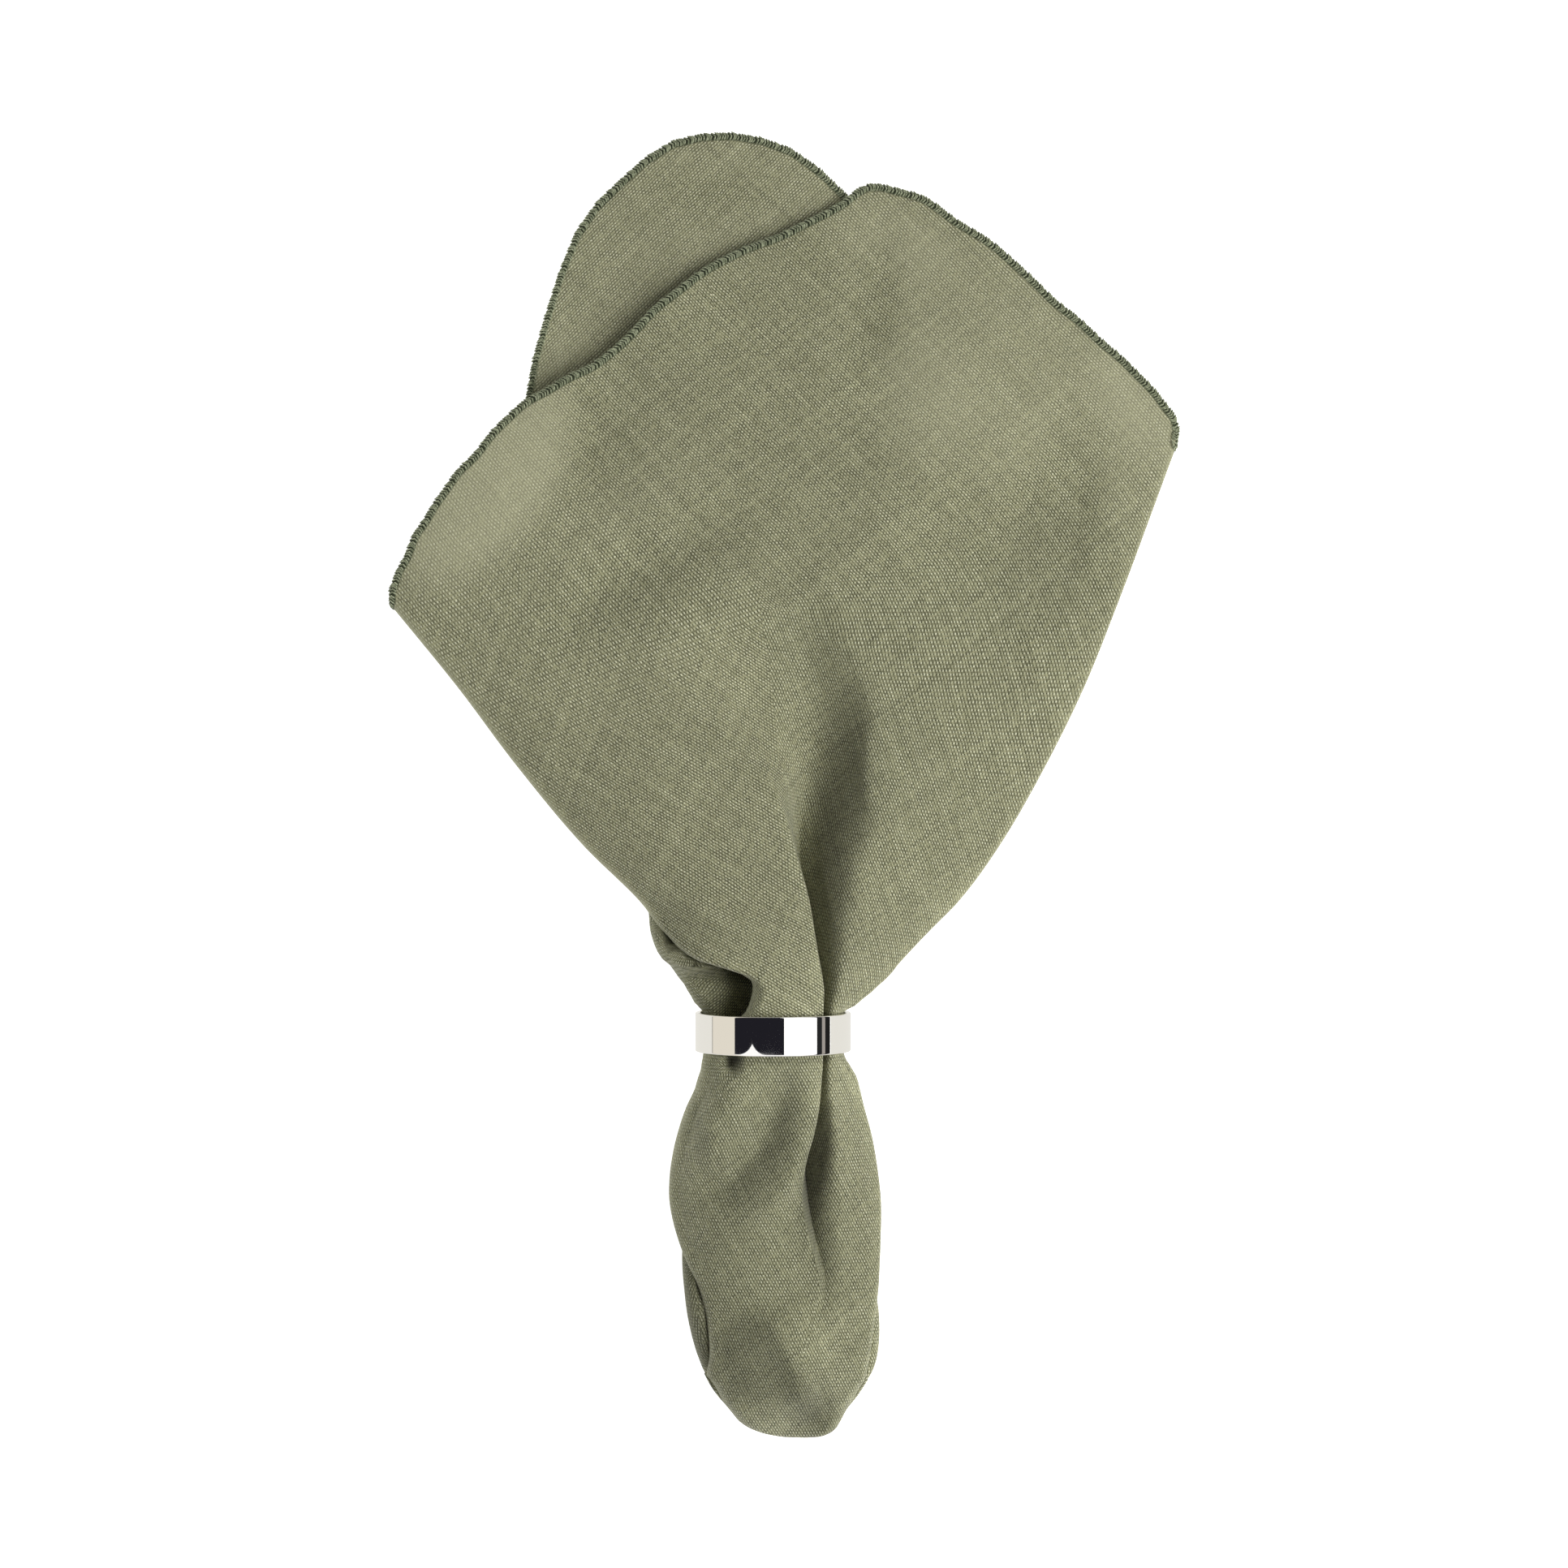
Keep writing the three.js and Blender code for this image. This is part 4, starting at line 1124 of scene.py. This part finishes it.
stage = {
    "floorHalf": 4.0,
    "floorHeight": -0.05,  # millimetres
    "world": 0.14,
    "lights": [  # place, aimed at the napkin's middle, size and power
        {"name": "key_softbox", "place": (0.82, -0.22, 0.88), "size": 1.1, "power": 17.0},
        {"name": "fill_softbox", "place": (-1.1, 0.3, 1.0), "size": 1.0, "power": 4.0},
    ],
    "tentReach": 1.2,
    "tentSteps": 97,
    "cards": namedRows(  # angles from straight up, positive to the right, and the edge that has the cusp
        ("name", "from", "to", "radius", "colour", "strength", "cut"),
        ("cream_card", -106, -55, 0.175, (0.90, 0.85, 0.745), 0.9, None),
        ("line_card", -97, -95.3, 0.174, (0.24, 0.22, 0.2), 1.0, None),
        ("dark_card", -60, 16, 0.6, (0.0145, 0.014, 0.0195), 1.0, "back"),
        ("cusp_card", -60, 16, 0.6, (1, 1, 1), 1.1, "front"),
        ("white_card", 16, 67, 0.6, (1, 1, 1), 1.25, None),
        ("shade_card", 67, 76, 0.6, (0.021, 0.022, 0.023), 1.0, None),
        ("bar_card", 76, 82, 0.6, (0.37, 0.345, 0.32), 1.0, None),
        ("low_shade_card", 82, 94.5, 0.6, (0.015, 0.015, 0.015), 1.0, None),
    ),
    "cusp": {"angle": -30.0, "wide": 8.0, "base": -0.1144, "high": 0.0051},  # the curve's places in metres
    "floorCard": {"half": 0.5, "height": -0.02, "colour": (0.86, 0.85, 0.80), "strength": 1.0},
}


def makeCard(name, points, faces, colour, strength):
    # a sheet that only reflections show
    card = newPiece(name, points, faces, glowMaterial(name, colour, strength))
    card.visible_camera = card.visible_diffuse = card.visible_shadow = card.visible_transmission = False


def tentCard(card):
    # a strip of the tent round the ring's axis, whole or up to the curve with the cusp
    degrees = np.linspace(card["from"], card["to"], stage["tentSteps"])
    angle, radius = np.radians(degrees)[:, None], card["radius"]
    cusp = stage["cusp"]
    edge = cusp["base"] + cusp["high"] * np.exp(-np.abs(degrees - cusp["angle"]) / cusp["wide"])
    reach = np.full(len(degrees), stage["tentReach"])
    front = edge if card["cut"] == "back" else -reach
    back = edge if card["cut"] == "front" else reach
    y = np.stack([front, back], -1) / mm
    x = ring["x"] + radius / mm * np.sin(angle) + 0 * y
    z = ring["outer"] + radius / mm * np.cos(angle) + 0 * y
    points = np.stack([x, y, z], -1).reshape(-1, 3)
    faces = np.arange(len(degrees) - 1)[:, None] * 2 + [0, 1, 3, 2]
    makeCard(card["name"], points, faces.tolist(), card["colour"], card["strength"])


def floorSquare(half, height):
    # corners about the origin, and the one face
    sides = ((-half, -half), (half, -half), (half, half), (-half, half))
    return np.array([(x, y, height) for x, y in sides]), [(0, 1, 2, 3)]


def makeStage():
    scene = bpy.context.scene
    world = bpy.data.worlds.new("studio")
    world.use_nodes = True
    sky = world.node_tree.nodes["Background"]
    sky.inputs["Color"].default_value = (1, 1, 1, 1)
    sky.inputs["Strength"].default_value = stage["world"]
    scene.world = world
    corners, face = floorSquare(stage["floorHalf"] / mm, stage["floorHeight"])
    newPiece("floor", corners, face, floorMaterial())
    low = stage["floorCard"]
    corners, face = floorSquare(low["half"] / mm, low["height"])
    makeCard("floor_card", corners, face, low["colour"], low["strength"])
    for spot in stage["lights"]:
        lamp = bpy.data.lights.new(spot["name"], "AREA")
        lamp.shape, lamp.size, lamp.energy = "DISK", spot["size"], spot["power"]
        held = bpy.data.objects.new(spot["name"], lamp)
        held.location = spot["place"]
        aim = -np.array(spot["place"])
        tilt = math.acos(-aim[2] / np.linalg.norm(aim))
        held.rotation_euler = (tilt, 0, math.atan2(aim[1], aim[0]) - math.pi / 2)
        held.visible_camera = held.visible_glossy = False
        scene.collection.objects.link(held)
    for card in stage["cards"]:
        tentCard(card)
    scene.view_settings.view_transform = "Standard"


makeStage()

# The camera looks straight down, as far off as the photograph's framing needs

camera = {"height": 0.9, "frameWidth": 0.4117, "sensor": 36.0}
lens = bpy.data.cameras.new("camera")
lens.sensor_width = camera["sensor"]
lens.lens = camera["sensor"] * camera["height"] / camera["frameWidth"]
eye = bpy.data.objects.new("camera", lens)
eye.location = (0, 0, camera["height"])
bpy.context.scene.collection.objects.link(eye)
bpy.context.scene.camera = eye
print("stage set")
